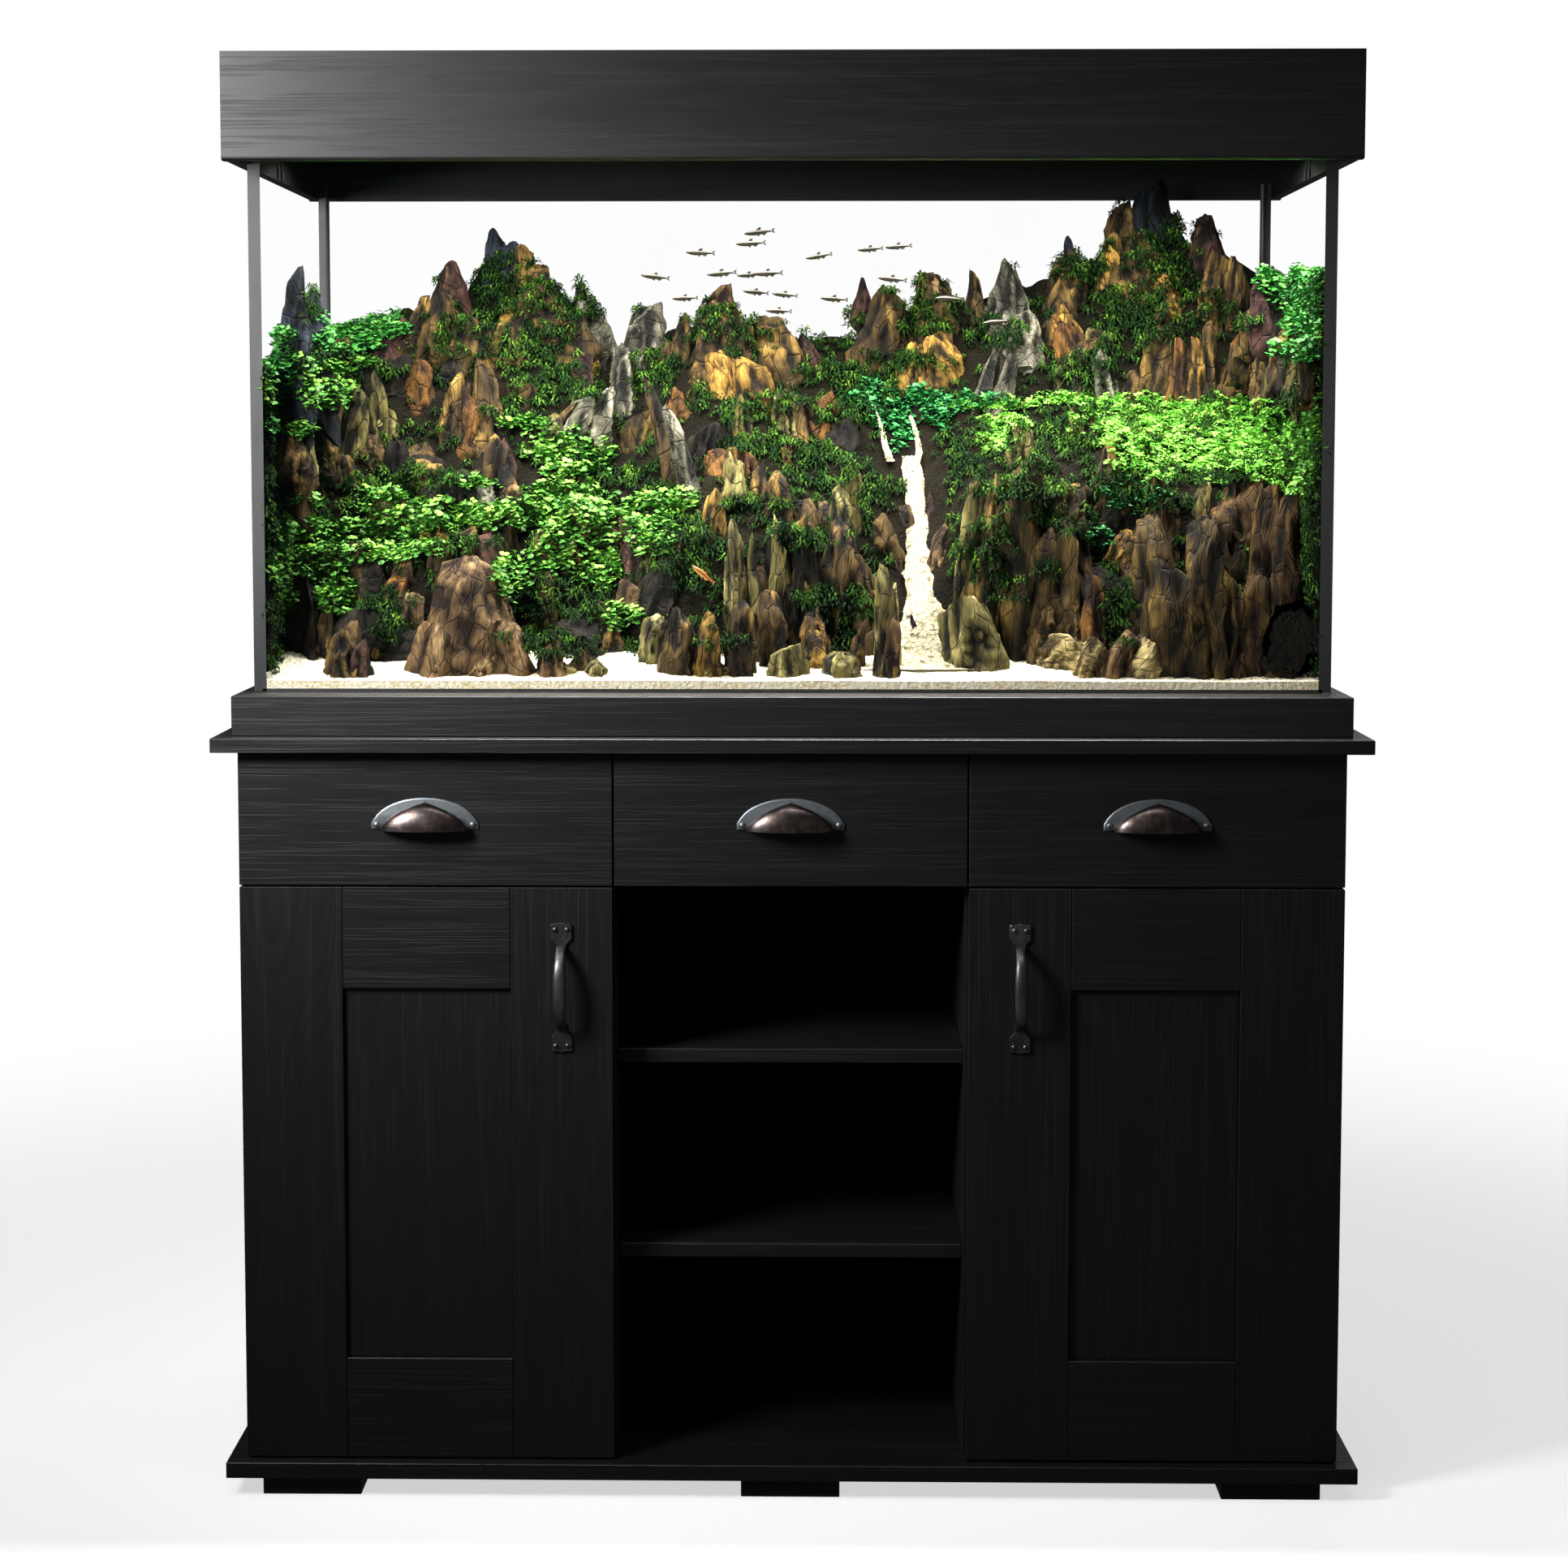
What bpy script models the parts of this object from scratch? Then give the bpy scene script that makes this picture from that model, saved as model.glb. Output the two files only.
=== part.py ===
"""Aquarium on a cabinet stand.

A 1220 x 457 x 610 mm glass tank stands on a plinth on a three-bay cabinet, under a boarded hood
with a lift-up lid. The cabinet has three drawers, two framed doors and an open bay with shelves.

Metres, +Z up, the front faces -Y. The origin is on the floor, under the middle of the object.
"""

import math

import bmesh
import bpy
from mathutils import Vector, noise

GAP = 0.0003  # left between pieces that touch
EDGE = 0.0007  # broken edge of a faced board
REVEAL = 0.002  # shadow line between doors and drawer fronts
BOARD = 0.016

BACK = 0.285  # plane of the rear edges, against the wall

BEARER_SIZE = (0.112, 0.022)
BEARER_X = 0.544
BEARER_FRONT = -0.258
BEARER_REAR = 0.270

BASE_WIDTH = 1.280
BASE_THICK = 0.018
BASE_FRONT = -0.269

CABINET_WIDTH = 1.237
CARCASS_FRONT = -0.2345
CARCASS_BACK = 0.2745
BACK_PANEL_THICK = 0.006

TABLE_WIDTH = 1.290
TABLE_FRONT = -0.275
TABLE_BOTTOM = 0.851
TABLE_TOP = 0.867

PLINTH_WIDTH = 1.251
PLINTH_FRONT = -0.251
PLINTH_BACK = 0.275
PLINTH_TOP = 0.912
PLINTH_BOARD = 0.015

TANK_WIDTH = 1.220
TANK_DEPTH = 0.457
TANK_HEIGHT = 0.610
TANK_FRONT = -0.211
GLASS = 0.010
GLASS_JOINT = 0.003  # silicone joint around the bottom pane
GRAVEL_DEPTH = 0.025

HOOD_WIDTH = 1.256
HOOD_FRONT = -0.250
HOOD_BOTTOM = 1.505
HOOD_TOP = 1.624
HOOD_ROUND = 0.004
LID_THICK = 0.012
LID_CLEARANCE = 0.0015

BAY_HALF = 0.196  # inner face of each divider
SHELF_TOPS = {"shelf_lower": 0.280, "shelf_upper": 0.506}
SHELF_SETBACK = 0.020

FRONT_FACE = -0.254  # outer face of doors and drawer fronts
FRONT_THICK = 0.018
SPLIT = 0.1985  # middle of the reveal between the bays
DRAWER_BOTTOM = 0.6995
DRAWER_TOP = 0.849
BOX_DEPTH = 0.400
BOX_BOTTOM = 0.725
BOX_HEIGHT = 0.100
BOX_WALL = 0.012
BOX_FLOOR = 0.006
RUNNER_SPACE = 0.013
RUNNER_HEIGHT = 0.045
RUNNER_BOTTOM = 0.750
RUNNER_SETBACK = 0.004

DOOR_BOTTOM = 0.0425
DOOR_TOP = 0.6975
STILE = 0.115
PANEL_RECESS = 0.006
PANEL_THICK = 0.009
HINGE_SIZE = (0.012, 0.060, 0.016)
METAL_EDGE = 0.002
HINGE_INSET = 0.090  # from the door's top and bottom edge to a hinge's middle

HANDLE_DROP = 0.113  # from the door's top edge to the handle's middle
HANDLE_HALF = 0.074
HANDLE_FACET = 0.3  # share of its depth that each front edge is cut back by
# Height from the middle over the half length, width, back, front (mm). The grip is the foremost point.
HANDLE_SECTIONS = (
    (-1.00, 20, 0, 2.5),
    (-0.97, 24, 0, 3.0),
    (-0.76, 24, 0, 3.0),
    (-0.68, 12, 0, 5.0),
    (-0.62, 10, 3, 10.0),
    (-0.54, 10, 11, 18.5),
    (-0.42, 11, 18, 26.0),
    (-0.24, 13, 21.5, 30.2),
    (0.0, 13, 22.0, 31.0),
)
CUP_RISE = 0.008  # of the cup pull's middle above the drawer front's middle
CUP_HALF = 0.060
CUP_DOME_HALF = 0.0455
CUP_DOME_HEIGHT = 0.033
CUP_DOME_DEPTH = 0.023
CUP_HEIGHT = 0.038
CUP_SHEET = 0.002
CUP_LEAST = 0.005  # height the sheet keeps beside the dome
CUP_ARCH = 0.002  # how far past the ends the back plate's arch runs out
CUP_STATIONS = (0, 9, 18, 26, 33, 39, 43, 45.2, 47, 52, 57, 60)  # mm from the middle

HILLS = (  # x of the top, height over the sand, half width
    (-0.56, 0.10, 0.05),
    (-0.36, 0.19, 0.10),
    (-0.10, 0.13, 0.10),
    (0.20, 0.18, 0.09),
    (0.44, 0.25, 0.12),
)
HILL_BASE = 0.27
GULLY_X = 0.145  # where the sand path runs back between the rocks
GULLY_HALF = 0.035
MOUND_HALF = 0.590
MOUND_FRONT = -0.140
MOUND_BACK = 0.230
MOUND_CREST = 0.070
MOUND_STEPS = (26, 7)
MOUND_FOOT = 0.22  # share of the full height that the front edge has
MOUND_SWELL = 1.3
MOUND_LEAST = 0.012
GULLY_FILL = 0.6  # share of the gully lost by the crest
ROUGHNESS = 0.018
ROUGH_PITCH = 1 / 18

LIGHT_LOW = Vector((-0.6117, -0.050, 1.548))
LIGHT_HIGH = Vector((0.6117, 0.040, 1.576))
LIGHT_EDGE = 0.003
GLAND_X = 0.520
GLAND_RADIUS = 0.006
GLAND_TAPER = 0.8
GLAND_LENGTH = 0.014

BLACK_ASH = (0.018, 0.018, 0.019)
FINISHES = {  # colour, roughness, metallic
    "black_ash": (BLACK_ASH, 0.45, 0.0),
    "hardboard": ((0.03, 0.026, 0.024), 0.8, 0.0),
    "glass": ((0.80, 0.90, 0.88), 0.03, 0.0),
    "sand": ((0.78, 0.70, 0.52), 0.9, 0.0),
    "rock": ((0.20, 0.12, 0.06), 0.85, 0.0),
    "zinc": ((0.55, 0.56, 0.58), 0.35, 1.0),
    "bronze": ((0.12, 0.11, 0.11), 0.35, 1.0),
    "pewter": ((0.10, 0.10, 0.11), 0.4, 1.0),
    "lamp": ((0.75, 0.76, 0.78), 0.3, 0.8),
}


def clear_scene():
    for old in list(bpy.data.objects):
        bpy.data.objects.remove(old, do_unlink=True)


def finish(name, kind):
    """A material of its own for one piece."""
    colour, roughness, metallic = FINISHES[kind]
    material = bpy.data.materials.new(name)
    material.use_nodes = True
    shader = material.node_tree.nodes["Principled BSDF"]
    shader.inputs["Base Color"].default_value = (*colour, 1.0)
    shader.inputs["Roughness"].default_value = roughness
    shader.inputs["Metallic"].default_value = metallic
    return material


def add_piece(name, form, kind, holder=None):
    """Makes an object of a bmesh in world places, with its origin at its middle or on its holder."""
    points = [v.co for v in form.verts]
    low = Vector(min(p[i] for p in points) for i in range(3))
    high = Vector(max(p[i] for p in points) for i in range(3))
    origin = holder.location.copy() if holder else (low + high) / 2
    bmesh.ops.translate(form, verts=form.verts, vec=-origin)
    bmesh.ops.recalc_face_normals(form, faces=form.faces)
    mesh = bpy.data.meshes.new(name)
    form.to_mesh(mesh)
    form.free()
    mesh.materials.append(finish(name, kind))
    piece = bpy.data.objects.new(name, mesh)
    bpy.context.collection.objects.link(piece)
    if holder:
        piece.parent = holder
    else:
        piece.location = origin
    return piece


def add_holder(name, place):
    """An empty on a joint's axis, which carries the pieces that move on it."""
    holder = bpy.data.objects.new(name, None)
    holder.location = place
    bpy.context.collection.objects.link(holder)
    return holder


def box_form(low, high):
    form = bmesh.new()
    bmesh.ops.create_cube(form, size=1.0)
    for vert in form.verts:
        vert.co = Vector(high[i] if vert.co[i] > 0 else low[i] for i in range(3))
    return form


def board(name, low, high, kind="black_ash", holder=None, edge=EDGE):
    """A flat board between two corners, with its edges just broken."""
    piece = add_piece(name, box_form(low, high), kind, holder)
    bevel = piece.modifiers.new("broken edge", "BEVEL")
    bevel.width = edge
    bevel.segments = 1
    return piece


def loft_form(rings):
    """A closed skin over rings of points, capped at both ends."""
    form = bmesh.new()
    loops = [[form.verts.new(point) for point in ring] for ring in rings]
    count = len(loops[0])
    for one, two in zip(loops, loops[1:]):
        for i in range(count):
            j = (i + 1) % count
            form.faces.new((one[i], one[j], two[j], two[i]))
    form.faces.new(loops[0])
    form.faces.new(reversed(loops[-1]))
    return form


def smooth(piece, angle=35.0):
    piece.data.shade_smooth()
    piece.data.set_sharp_from_angle(angle=math.radians(angle))


# ---- stand -------------------------------------------------------------------------------------


def build_base():
    width, height = BEARER_SIZE
    for name, x in (("left", -BEARER_X), ("middle", 0.0), ("right", BEARER_X)):
        low = (x - width / 2, BEARER_FRONT, 0)
        board(f"bearer_{name}", low, (x + width / 2, BEARER_REAR, height))
    bottom = height + GAP
    low = (-BASE_WIDTH / 2, BASE_FRONT, bottom)
    board("base_board", low, (BASE_WIDTH / 2, BACK, bottom + BASE_THICK))
    return bottom + BASE_THICK


def build_carcass(floor):
    """Sides, dividers, back, shelves and the table board that closes the cabinet."""
    bottom, top = floor + GAP, TABLE_BOTTOM - GAP
    half = CABINET_WIDTH / 2
    for side, sign in (("left", -1), ("right", 1)):
        for name, inner in (("side_panel", half - BOARD), ("divider", BAY_HALF)):
            x = sorted((sign * inner, sign * (inner + BOARD)))
            low = (x[0], CARCASS_FRONT, bottom)
            board(f"{name}_{side}", low, (x[1], CARCASS_BACK, top))
    rear = CARCASS_BACK + GAP
    low = (-half + REVEAL, rear, bottom)
    board("back_panel", low, (half - REVEAL, rear + BACK_PANEL_THICK, top), "hardboard")
    for name, shelf in SHELF_TOPS.items():
        low = (-BAY_HALF + GAP, CARCASS_FRONT + SHELF_SETBACK, shelf - BOARD)
        board(name, low, (BAY_HALF - GAP, CARCASS_BACK, shelf))
    low = (-TABLE_WIDTH / 2, TABLE_FRONT, TABLE_BOTTOM)
    board("table_top", low, (TABLE_WIDTH / 2, BACK, TABLE_TOP))


def build_plinth():
    """Three facing boards round a deck that carries the tank."""
    bottom, half = TABLE_TOP + GAP, PLINTH_WIDTH / 2
    inner_front = PLINTH_FRONT + PLINTH_BOARD
    low = (-half, PLINTH_FRONT, bottom)
    board("plinth_front", low, (half, inner_front, PLINTH_TOP))
    for side, sign in (("left", -1), ("right", 1)):
        x = sorted((sign * half, sign * (half - PLINTH_BOARD)))
        low = (x[0], inner_front + GAP, bottom)
        board(f"plinth_{side}", low, (x[1], PLINTH_BACK, PLINTH_TOP))
    inner = half - PLINTH_BOARD - GAP
    low = (-inner, inner_front + GAP, bottom)
    board("plinth_deck", low, (inner, PLINTH_BACK, PLINTH_TOP))


# ---- tank --------------------------------------------------------------------------------------


def build_tank():
    """Five panes. The front and back panes run past the sides, and the bottom lies between."""
    low_z = PLINTH_TOP + GAP
    high_z = low_z + TANK_HEIGHT
    half, rear = TANK_WIDTH / 2, TANK_FRONT + TANK_DEPTH
    for name, y in (("front", TANK_FRONT), ("back", rear - GLASS)):
        board(f"glass_{name}", (-half, y, low_z), (half, y + GLASS, high_z), "glass")
    inner = (TANK_FRONT + GLASS + GAP, rear - GLASS - GAP)
    for side, sign in (("left", -1), ("right", 1)):
        x = sorted((sign * half, sign * (half - GLASS)))
        board(f"glass_{side}", (x[0], inner[0], low_z), (x[1], inner[1], high_z), "glass")
    pane = half - GLASS - GLASS_JOINT
    low = (-pane, inner[0] + GLASS_JOINT, low_z)
    board("glass_bottom", low, (pane, inner[1] - GLASS_JOINT, low_z + GLASS), "glass")
    return low_z + GLASS


def mound_height(x, y):
    """Height of the rockwork over the sand: hills along x, a rise from the front, one gully."""
    ridge = HILL_BASE + sum(h * math.exp(-(((x - at) / w) ** 2)) for at, h, w in HILLS)
    run = min(1.0, (y - MOUND_FRONT) / (MOUND_CREST - MOUND_FRONT))
    swell = math.sin(run * math.pi / 2) ** MOUND_SWELL
    rise = MOUND_FOOT + (1.0 - MOUND_FOOT) * swell
    gully = math.exp(-(((x - GULLY_X) / GULLY_HALF) ** 2)) * (1.0 - GULLY_FILL * run)
    rough = ROUGHNESS * noise.noise(Vector((x / ROUGH_PITCH, y / ROUGH_PITCH, 0.5)))
    return max(MOUND_LEAST, ridge * rise * (1.0 - gully) + rough)


def build_scape(floor):
    """The sand bed and the rockwork on it, as plain solids of the true size."""
    low_z = floor + GAP
    inner = TANK_WIDTH / 2 - GLASS - GAP
    front, rear = TANK_FRONT + GLASS + GAP, TANK_FRONT + TANK_DEPTH - GLASS - GAP
    top = low_z + GRAVEL_DEPTH
    board("gravel_bed", (-inner, front + GAP, low_z), (inner, rear - GAP, top), "sand")
    columns, rows = MOUND_STEPS
    form = bmesh.new()
    layers = []
    for on_top in (False, True):
        grid = []
        for i in range(columns + 1):
            x = -MOUND_HALF + 2 * MOUND_HALF * i / columns
            line = []
            for j in range(rows + 1):
                y = MOUND_FRONT + (MOUND_BACK - MOUND_FRONT) * j / rows
                z = top + GAP + (mound_height(x, y) if on_top else 0.0)
                line.append(form.verts.new((x, y, z)))
            grid.append(line)
        layers.append(grid)
    for on_top, grid in zip((False, True), layers):
        for i in range(columns):
            for j in range(rows):
                face = (grid[i][j], grid[i + 1][j], grid[i + 1][j + 1], grid[i][j + 1])
                form.faces.new(face if on_top else reversed(face))
    rims = []
    for grid in layers:
        rim = [grid[i][0] for i in range(columns)]
        rim += [grid[columns][j] for j in range(rows)]
        rim += [grid[i][rows] for i in range(columns, 0, -1)]
        rim += [grid[0][j] for j in range(rows, 0, -1)]
        rims.append(rim)
    count = len(rims[0])
    for i in range(count):
        j = (i + 1) % count
        form.faces.new((rims[0][i], rims[0][j], rims[1][j], rims[1][i]))
    add_piece("rock_mound", form, "rock")


# ---- hood --------------------------------------------------------------------------------------


def hood_outline(outer, inner):
    """A hood board's section: across and up, with its lower outer edge rounded."""
    sign = 1 if inner > outer else -1
    outline = [(outer, HOOD_TOP), (inner, HOOD_TOP), (inner, HOOD_BOTTOM)]
    steps = 4
    for i in range(steps + 1):
        turn = math.pi / 2 * i / steps
        across = outer + sign * HOOD_ROUND * (1 - math.sin(turn))
        outline.append((across, HOOD_BOTTOM + HOOD_ROUND * (1 - math.cos(turn))))
    return outline


def build_hood():
    half = HOOD_WIDTH / 2
    for name, outer, sign in (("front", HOOD_FRONT, 1), ("back", BACK, -1)):
        outline = hood_outline(outer, outer + sign * BOARD)
        rings = [[(x, y, z) for y, z in outline] for x in (-half, half)]
        add_piece(f"hood_{name}", loft_form(rings), "black_ash")
    ends = (HOOD_FRONT + BOARD + GAP, BACK - BOARD - GAP)
    for name, sign in (("left", -1), ("right", 1)):
        outline = hood_outline(sign * half, sign * (half - BOARD))
        rings = [[(x, y, z) for x, z in outline] for y in ends]
        add_piece(f"hood_{name}", loft_form(rings), "black_ash")


def build_lid():
    """The lid lies between the hood boards and turns on the top edge of the back board."""
    hinge_y = BACK - BOARD - LID_CLEARANCE
    holder = add_holder("lid_hinge", (0, hinge_y, HOOD_TOP))
    half = HOOD_WIDTH / 2 - BOARD - LID_CLEARANCE
    low = (-half, HOOD_FRONT + BOARD + LID_CLEARANCE, HOOD_TOP - LID_THICK)
    board("hood_lid", low, (half, hinge_y, HOOD_TOP), holder=holder)


def build_light():
    """The light bar between the hood's side boards, with the gland its lead comes out of."""
    bar = board("light_bar", LIGHT_LOW, LIGHT_HIGH, "lamp", edge=LIGHT_EDGE)
    form = bmesh.new()
    length = GLAND_LENGTH * 2
    bmesh.ops.create_cone(
        form,
        cap_ends=True,
        segments=12,
        radius1=GLAND_RADIUS,
        radius2=GLAND_RADIUS * GLAND_TAPER,
        depth=length,
    )
    for vert in form.verts:
        x, y, z = vert.co
        vert.co = (GLAND_X + x, LIGHT_HIGH.y + z, (LIGHT_LOW.z + LIGHT_HIGH.z) / 2 + y)
    gland = add_piece("light_gland", form, "lamp")
    gland.hide_render = True
    gland.display_type = "WIRE"
    union = bar.modifiers.new("gland", "BOOLEAN")
    union.operation = "UNION"
    union.object = gland


# ---- drawers and doors -------------------------------------------------------------------------

def cup_ring(x):
    """Section of a cup pull: a sheet that bulges out of its back plate, open at the bottom."""
    swell = math.sqrt(max(0.0, 1 - (x / CUP_DOME_HALF) ** 2))
    plate_top = CUP_HEIGHT * math.sqrt(1 - (x / (CUP_HALF + CUP_ARCH)) ** 2)
    steps = 6
    skins = []
    for sheet in (0.0, CUP_SHEET):
        height = max(CUP_DOME_HEIGHT * swell, CUP_LEAST) - sheet / 2
        depth = max(CUP_DOME_DEPTH * swell - sheet, 0.0)
        skin = []
        for i in range(steps + 1):
            turn = math.pi / 2 * i / steps
            out = CUP_SHEET - sheet + depth * math.cos(turn)
            skin.append((x, -out, height * math.sin(turn)))
        skins.append(skin)
    plate = [(x, -CUP_SHEET, plate_top), (x, 0.0, plate_top)]
    return skins[0] + plate + skins[1][::-1]


def build_cup_pull(name, x, z, holder):
    places = [-s / 1000 for s in CUP_STATIONS[:0:-1]] + [s / 1000 for s in CUP_STATIONS]
    face = Vector((x, FRONT_FACE - GAP, z - CUP_HEIGHT / 2))
    rings = [[face + Vector(point) for point in cup_ring(at)] for at in places]
    smooth(add_piece(name, loft_form(rings), "bronze", holder))


def tray_form(low, high):
    """An open-topped box."""
    form = box_form(low, high)
    top = max(form.faces, key=lambda face: face.calc_center_median().z)
    bmesh.ops.inset_individual(form, faces=[top], thickness=BOX_WALL)
    inner = bmesh.ops.extrude_discrete_faces(form, faces=[top])["faces"][0]
    drop = Vector((0, 0, low[2] + BOX_FLOOR - high[2]))
    bmesh.ops.translate(form, verts=inner.verts, vec=drop)
    return form


def build_drawer(name, front, bay):
    """One drawer: its front, its box between two runners, and its cup pull."""
    middle = (front[0] + front[1]) / 2
    holder = add_holder(f"drawer_{name}_slide", (middle, FRONT_FACE, DRAWER_BOTTOM))
    back_face = FRONT_FACE + FRONT_THICK
    low = (front[0], FRONT_FACE, DRAWER_BOTTOM)
    board(f"drawer_front_{name}", low, (front[1], back_face, DRAWER_TOP), holder=holder)
    box_front = back_face + GAP
    low = (bay[0] + RUNNER_SPACE, box_front, BOX_BOTTOM)
    high = (bay[1] - RUNNER_SPACE, box_front + BOX_DEPTH, BOX_BOTTOM + BOX_HEIGHT)
    add_piece(f"drawer_box_{name}", tray_form(low, high), "black_ash", holder)
    pull_z = (DRAWER_BOTTOM + DRAWER_TOP) / 2 + CUP_RISE
    build_cup_pull(f"cup_pull_{name}", middle, pull_z, holder)
    thick = RUNNER_SPACE - 2 * GAP
    for side, x in (("left", bay[0] + GAP), ("right", bay[1] - GAP - thick)):
        low = (x, CARCASS_FRONT + RUNNER_SETBACK, RUNNER_BOTTOM)
        high = (x + thick, CARCASS_FRONT + BOX_DEPTH, RUNNER_BOTTOM + RUNNER_HEIGHT)
        board(f"runner_{name}_{side}", low, high, "zinc")


def build_handle(name, x, holder):
    """A bow handle: two plates drawn in to a neck, with a grip bowed out between them."""
    middle = DOOR_TOP - HANDLE_DROP
    sections = [*HANDLE_SECTIONS, *((-s[0], *s[1:]) for s in HANDLE_SECTIONS[-2::-1])]
    rings = []
    for share, width, back, front in sections:
        z, half = middle + share * HANDLE_HALF, width / 2000
        depth = (front - back) / 1000
        near, far = FRONT_FACE - GAP - back / 1000, FRONT_FACE - front / 1000
        cut = depth * HANDLE_FACET
        rings.append(
            (
                (x - half, near, z),
                (x + half, near, z),
                (x + half, far + cut, z),
                (x + half - cut, far, z),
                (x - half + cut, far, z),
                (x - half, far + cut, z),
            )
        )
    add_piece(name, loft_form(rings), "pewter", holder)


def build_door(name, sign):
    """A framed door: two full-height stiles, two rails, a recessed panel and a handle."""
    outer, inner = CABINET_WIDTH / 2, SPLIT + REVEAL / 2
    back_face = FRONT_FACE + FRONT_THICK
    holder = add_holder(f"door_{name}_hinge", (sign * outer, back_face, DOOR_BOTTOM))

    def part(label, spans, heights, face=FRONT_FACE, thick=FRONT_THICK):
        x = sorted(sign * span for span in spans)
        low = (x[0], face, heights[0])
        board(f"door_{name}_{label}", low, (x[1], face + thick, heights[1]), holder=holder)

    full = (DOOR_BOTTOM, DOOR_TOP)
    part("hinge_stile", (outer, outer - STILE), full)
    part("lock_stile", (inner + STILE, inner), full)
    between = (outer - STILE - GAP, inner + STILE + GAP)
    part("top_rail", between, (DOOR_TOP - STILE, DOOR_TOP))
    part("bottom_rail", between, (DOOR_BOTTOM, DOOR_BOTTOM + STILE))
    opening = (DOOR_BOTTOM + STILE + GAP, DOOR_TOP - STILE - GAP)
    part("panel", between, opening, FRONT_FACE + PANEL_RECESS, PANEL_THICK)
    build_handle(f"handle_{name}", sign * (inner + STILE / 2), holder)

    wide, deep, tall = HINGE_SIZE
    face = outer - BOARD - GAP
    x = sorted((sign * face, sign * (face - wide)))
    for level, z in (("lower", DOOR_BOTTOM + HINGE_INSET), ("upper", DOOR_TOP - HINGE_INSET)):
        low = (x[0], CARCASS_FRONT, z - tall / 2)
        high = (x[1], CARCASS_FRONT + deep, z + tall / 2)
        board(f"hinge_arm_{name}_{level}", low, high, "zinc", edge=METAL_EDGE)


def build_fronts():
    outer, inner = CABINET_WIDTH / 2, SPLIT + REVEAL / 2
    bay = (outer - BOARD, BAY_HALF + BOARD)
    build_drawer("left", (-outer, -inner), (-bay[0], -bay[1]))
    build_drawer("centre", (-SPLIT + REVEAL / 2, SPLIT - REVEAL / 2), (-BAY_HALF, BAY_HALF))
    build_drawer("right", (inner, outer), (bay[1], bay[0]))
    build_door("left", -1)
    build_door("right", 1)


clear_scene()
build_carcass(build_base())
build_plinth()
build_scape(build_tank())
build_hood()
build_lid()
build_light()
build_fronts()
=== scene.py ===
import math
import random

import bmesh
import bpy
import numpy as np
from mathutils import Matrix, Vector, noise


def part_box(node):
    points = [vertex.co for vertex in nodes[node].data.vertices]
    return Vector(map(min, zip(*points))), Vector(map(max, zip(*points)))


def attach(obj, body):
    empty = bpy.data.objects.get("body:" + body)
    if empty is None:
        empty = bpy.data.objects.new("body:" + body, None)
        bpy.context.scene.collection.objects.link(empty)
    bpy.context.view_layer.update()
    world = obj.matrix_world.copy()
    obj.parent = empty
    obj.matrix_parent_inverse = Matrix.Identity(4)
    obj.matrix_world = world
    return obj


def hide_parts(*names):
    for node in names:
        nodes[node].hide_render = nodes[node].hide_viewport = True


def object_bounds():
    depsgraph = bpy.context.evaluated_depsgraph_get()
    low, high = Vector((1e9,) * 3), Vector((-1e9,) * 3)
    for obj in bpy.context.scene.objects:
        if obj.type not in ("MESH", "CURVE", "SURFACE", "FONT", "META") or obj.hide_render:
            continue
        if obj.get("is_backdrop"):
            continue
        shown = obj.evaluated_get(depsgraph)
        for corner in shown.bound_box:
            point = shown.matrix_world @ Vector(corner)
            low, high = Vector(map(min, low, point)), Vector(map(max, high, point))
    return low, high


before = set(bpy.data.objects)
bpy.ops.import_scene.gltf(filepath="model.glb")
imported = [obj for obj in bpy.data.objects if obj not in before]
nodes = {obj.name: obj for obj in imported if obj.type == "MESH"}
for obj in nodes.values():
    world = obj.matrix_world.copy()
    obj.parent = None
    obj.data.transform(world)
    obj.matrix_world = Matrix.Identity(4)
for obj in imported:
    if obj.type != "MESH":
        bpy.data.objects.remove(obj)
frame_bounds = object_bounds()

# ---- Camera, floor and light -------------------------------------------------------------------
# The cabinet is seen from the front, at about eye height for a seated person, on a pale floor.
# One broad lamp stands to the left and leaves the right-hand side dark. Others hang over the front
# and behind, two strips under the hood light the tank, and a lamp with a grid its stones' fronts.

CAMERA_PLACE = (0.0192, -3.211, 1.2056)
CAMERA_PITCH = -0.0727
CAMERA_YAW = 0.0152
CAMERA_LENS = 61.3
CAMERA_SHIFT = (0.0105, -0.1)
SENSOR = 36.0
WARM = (1.0, 0.98, 0.93)  # colour of the lamps that light the tank
WHITE = (1.0, 1.0, 1.0, 1.0)

scene = bpy.context.scene
scene.view_settings.view_transform = "Standard"
scene.view_settings.look = "None"

camera = bpy.data.objects.new("camera", bpy.data.cameras.new("camera"))
scene.collection.objects.link(camera)
camera.location = CAMERA_PLACE
camera.rotation_euler = (math.pi / 2 + CAMERA_PITCH, 0.0, CAMERA_YAW)
camera.data.sensor_width = SENSOR
camera.data.lens = CAMERA_LENS
camera.data.shift_x, camera.data.shift_y = CAMERA_SHIFT
scene.camera = camera


def hang_lamp(name, place, aim, size, watts, colour=(1.0, 1.0, 1.0), spread=180):
    """A flat rectangular lamp at one place, turned towards another."""
    lamp = bpy.data.lights.new(name, "AREA")
    lamp.shape = "RECTANGLE"
    lamp.size, lamp.size_y = size
    lamp.energy = watts
    lamp.color = colour
    lamp.spread = math.radians(spread)
    holder = bpy.data.objects.new(name, lamp)
    holder.location = place
    holder.rotation_euler = (Vector(aim) - Vector(place)).to_track_quat("-Z", "Y").to_euler()
    holder.visible_camera = False
    scene.collection.objects.link(holder)


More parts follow.
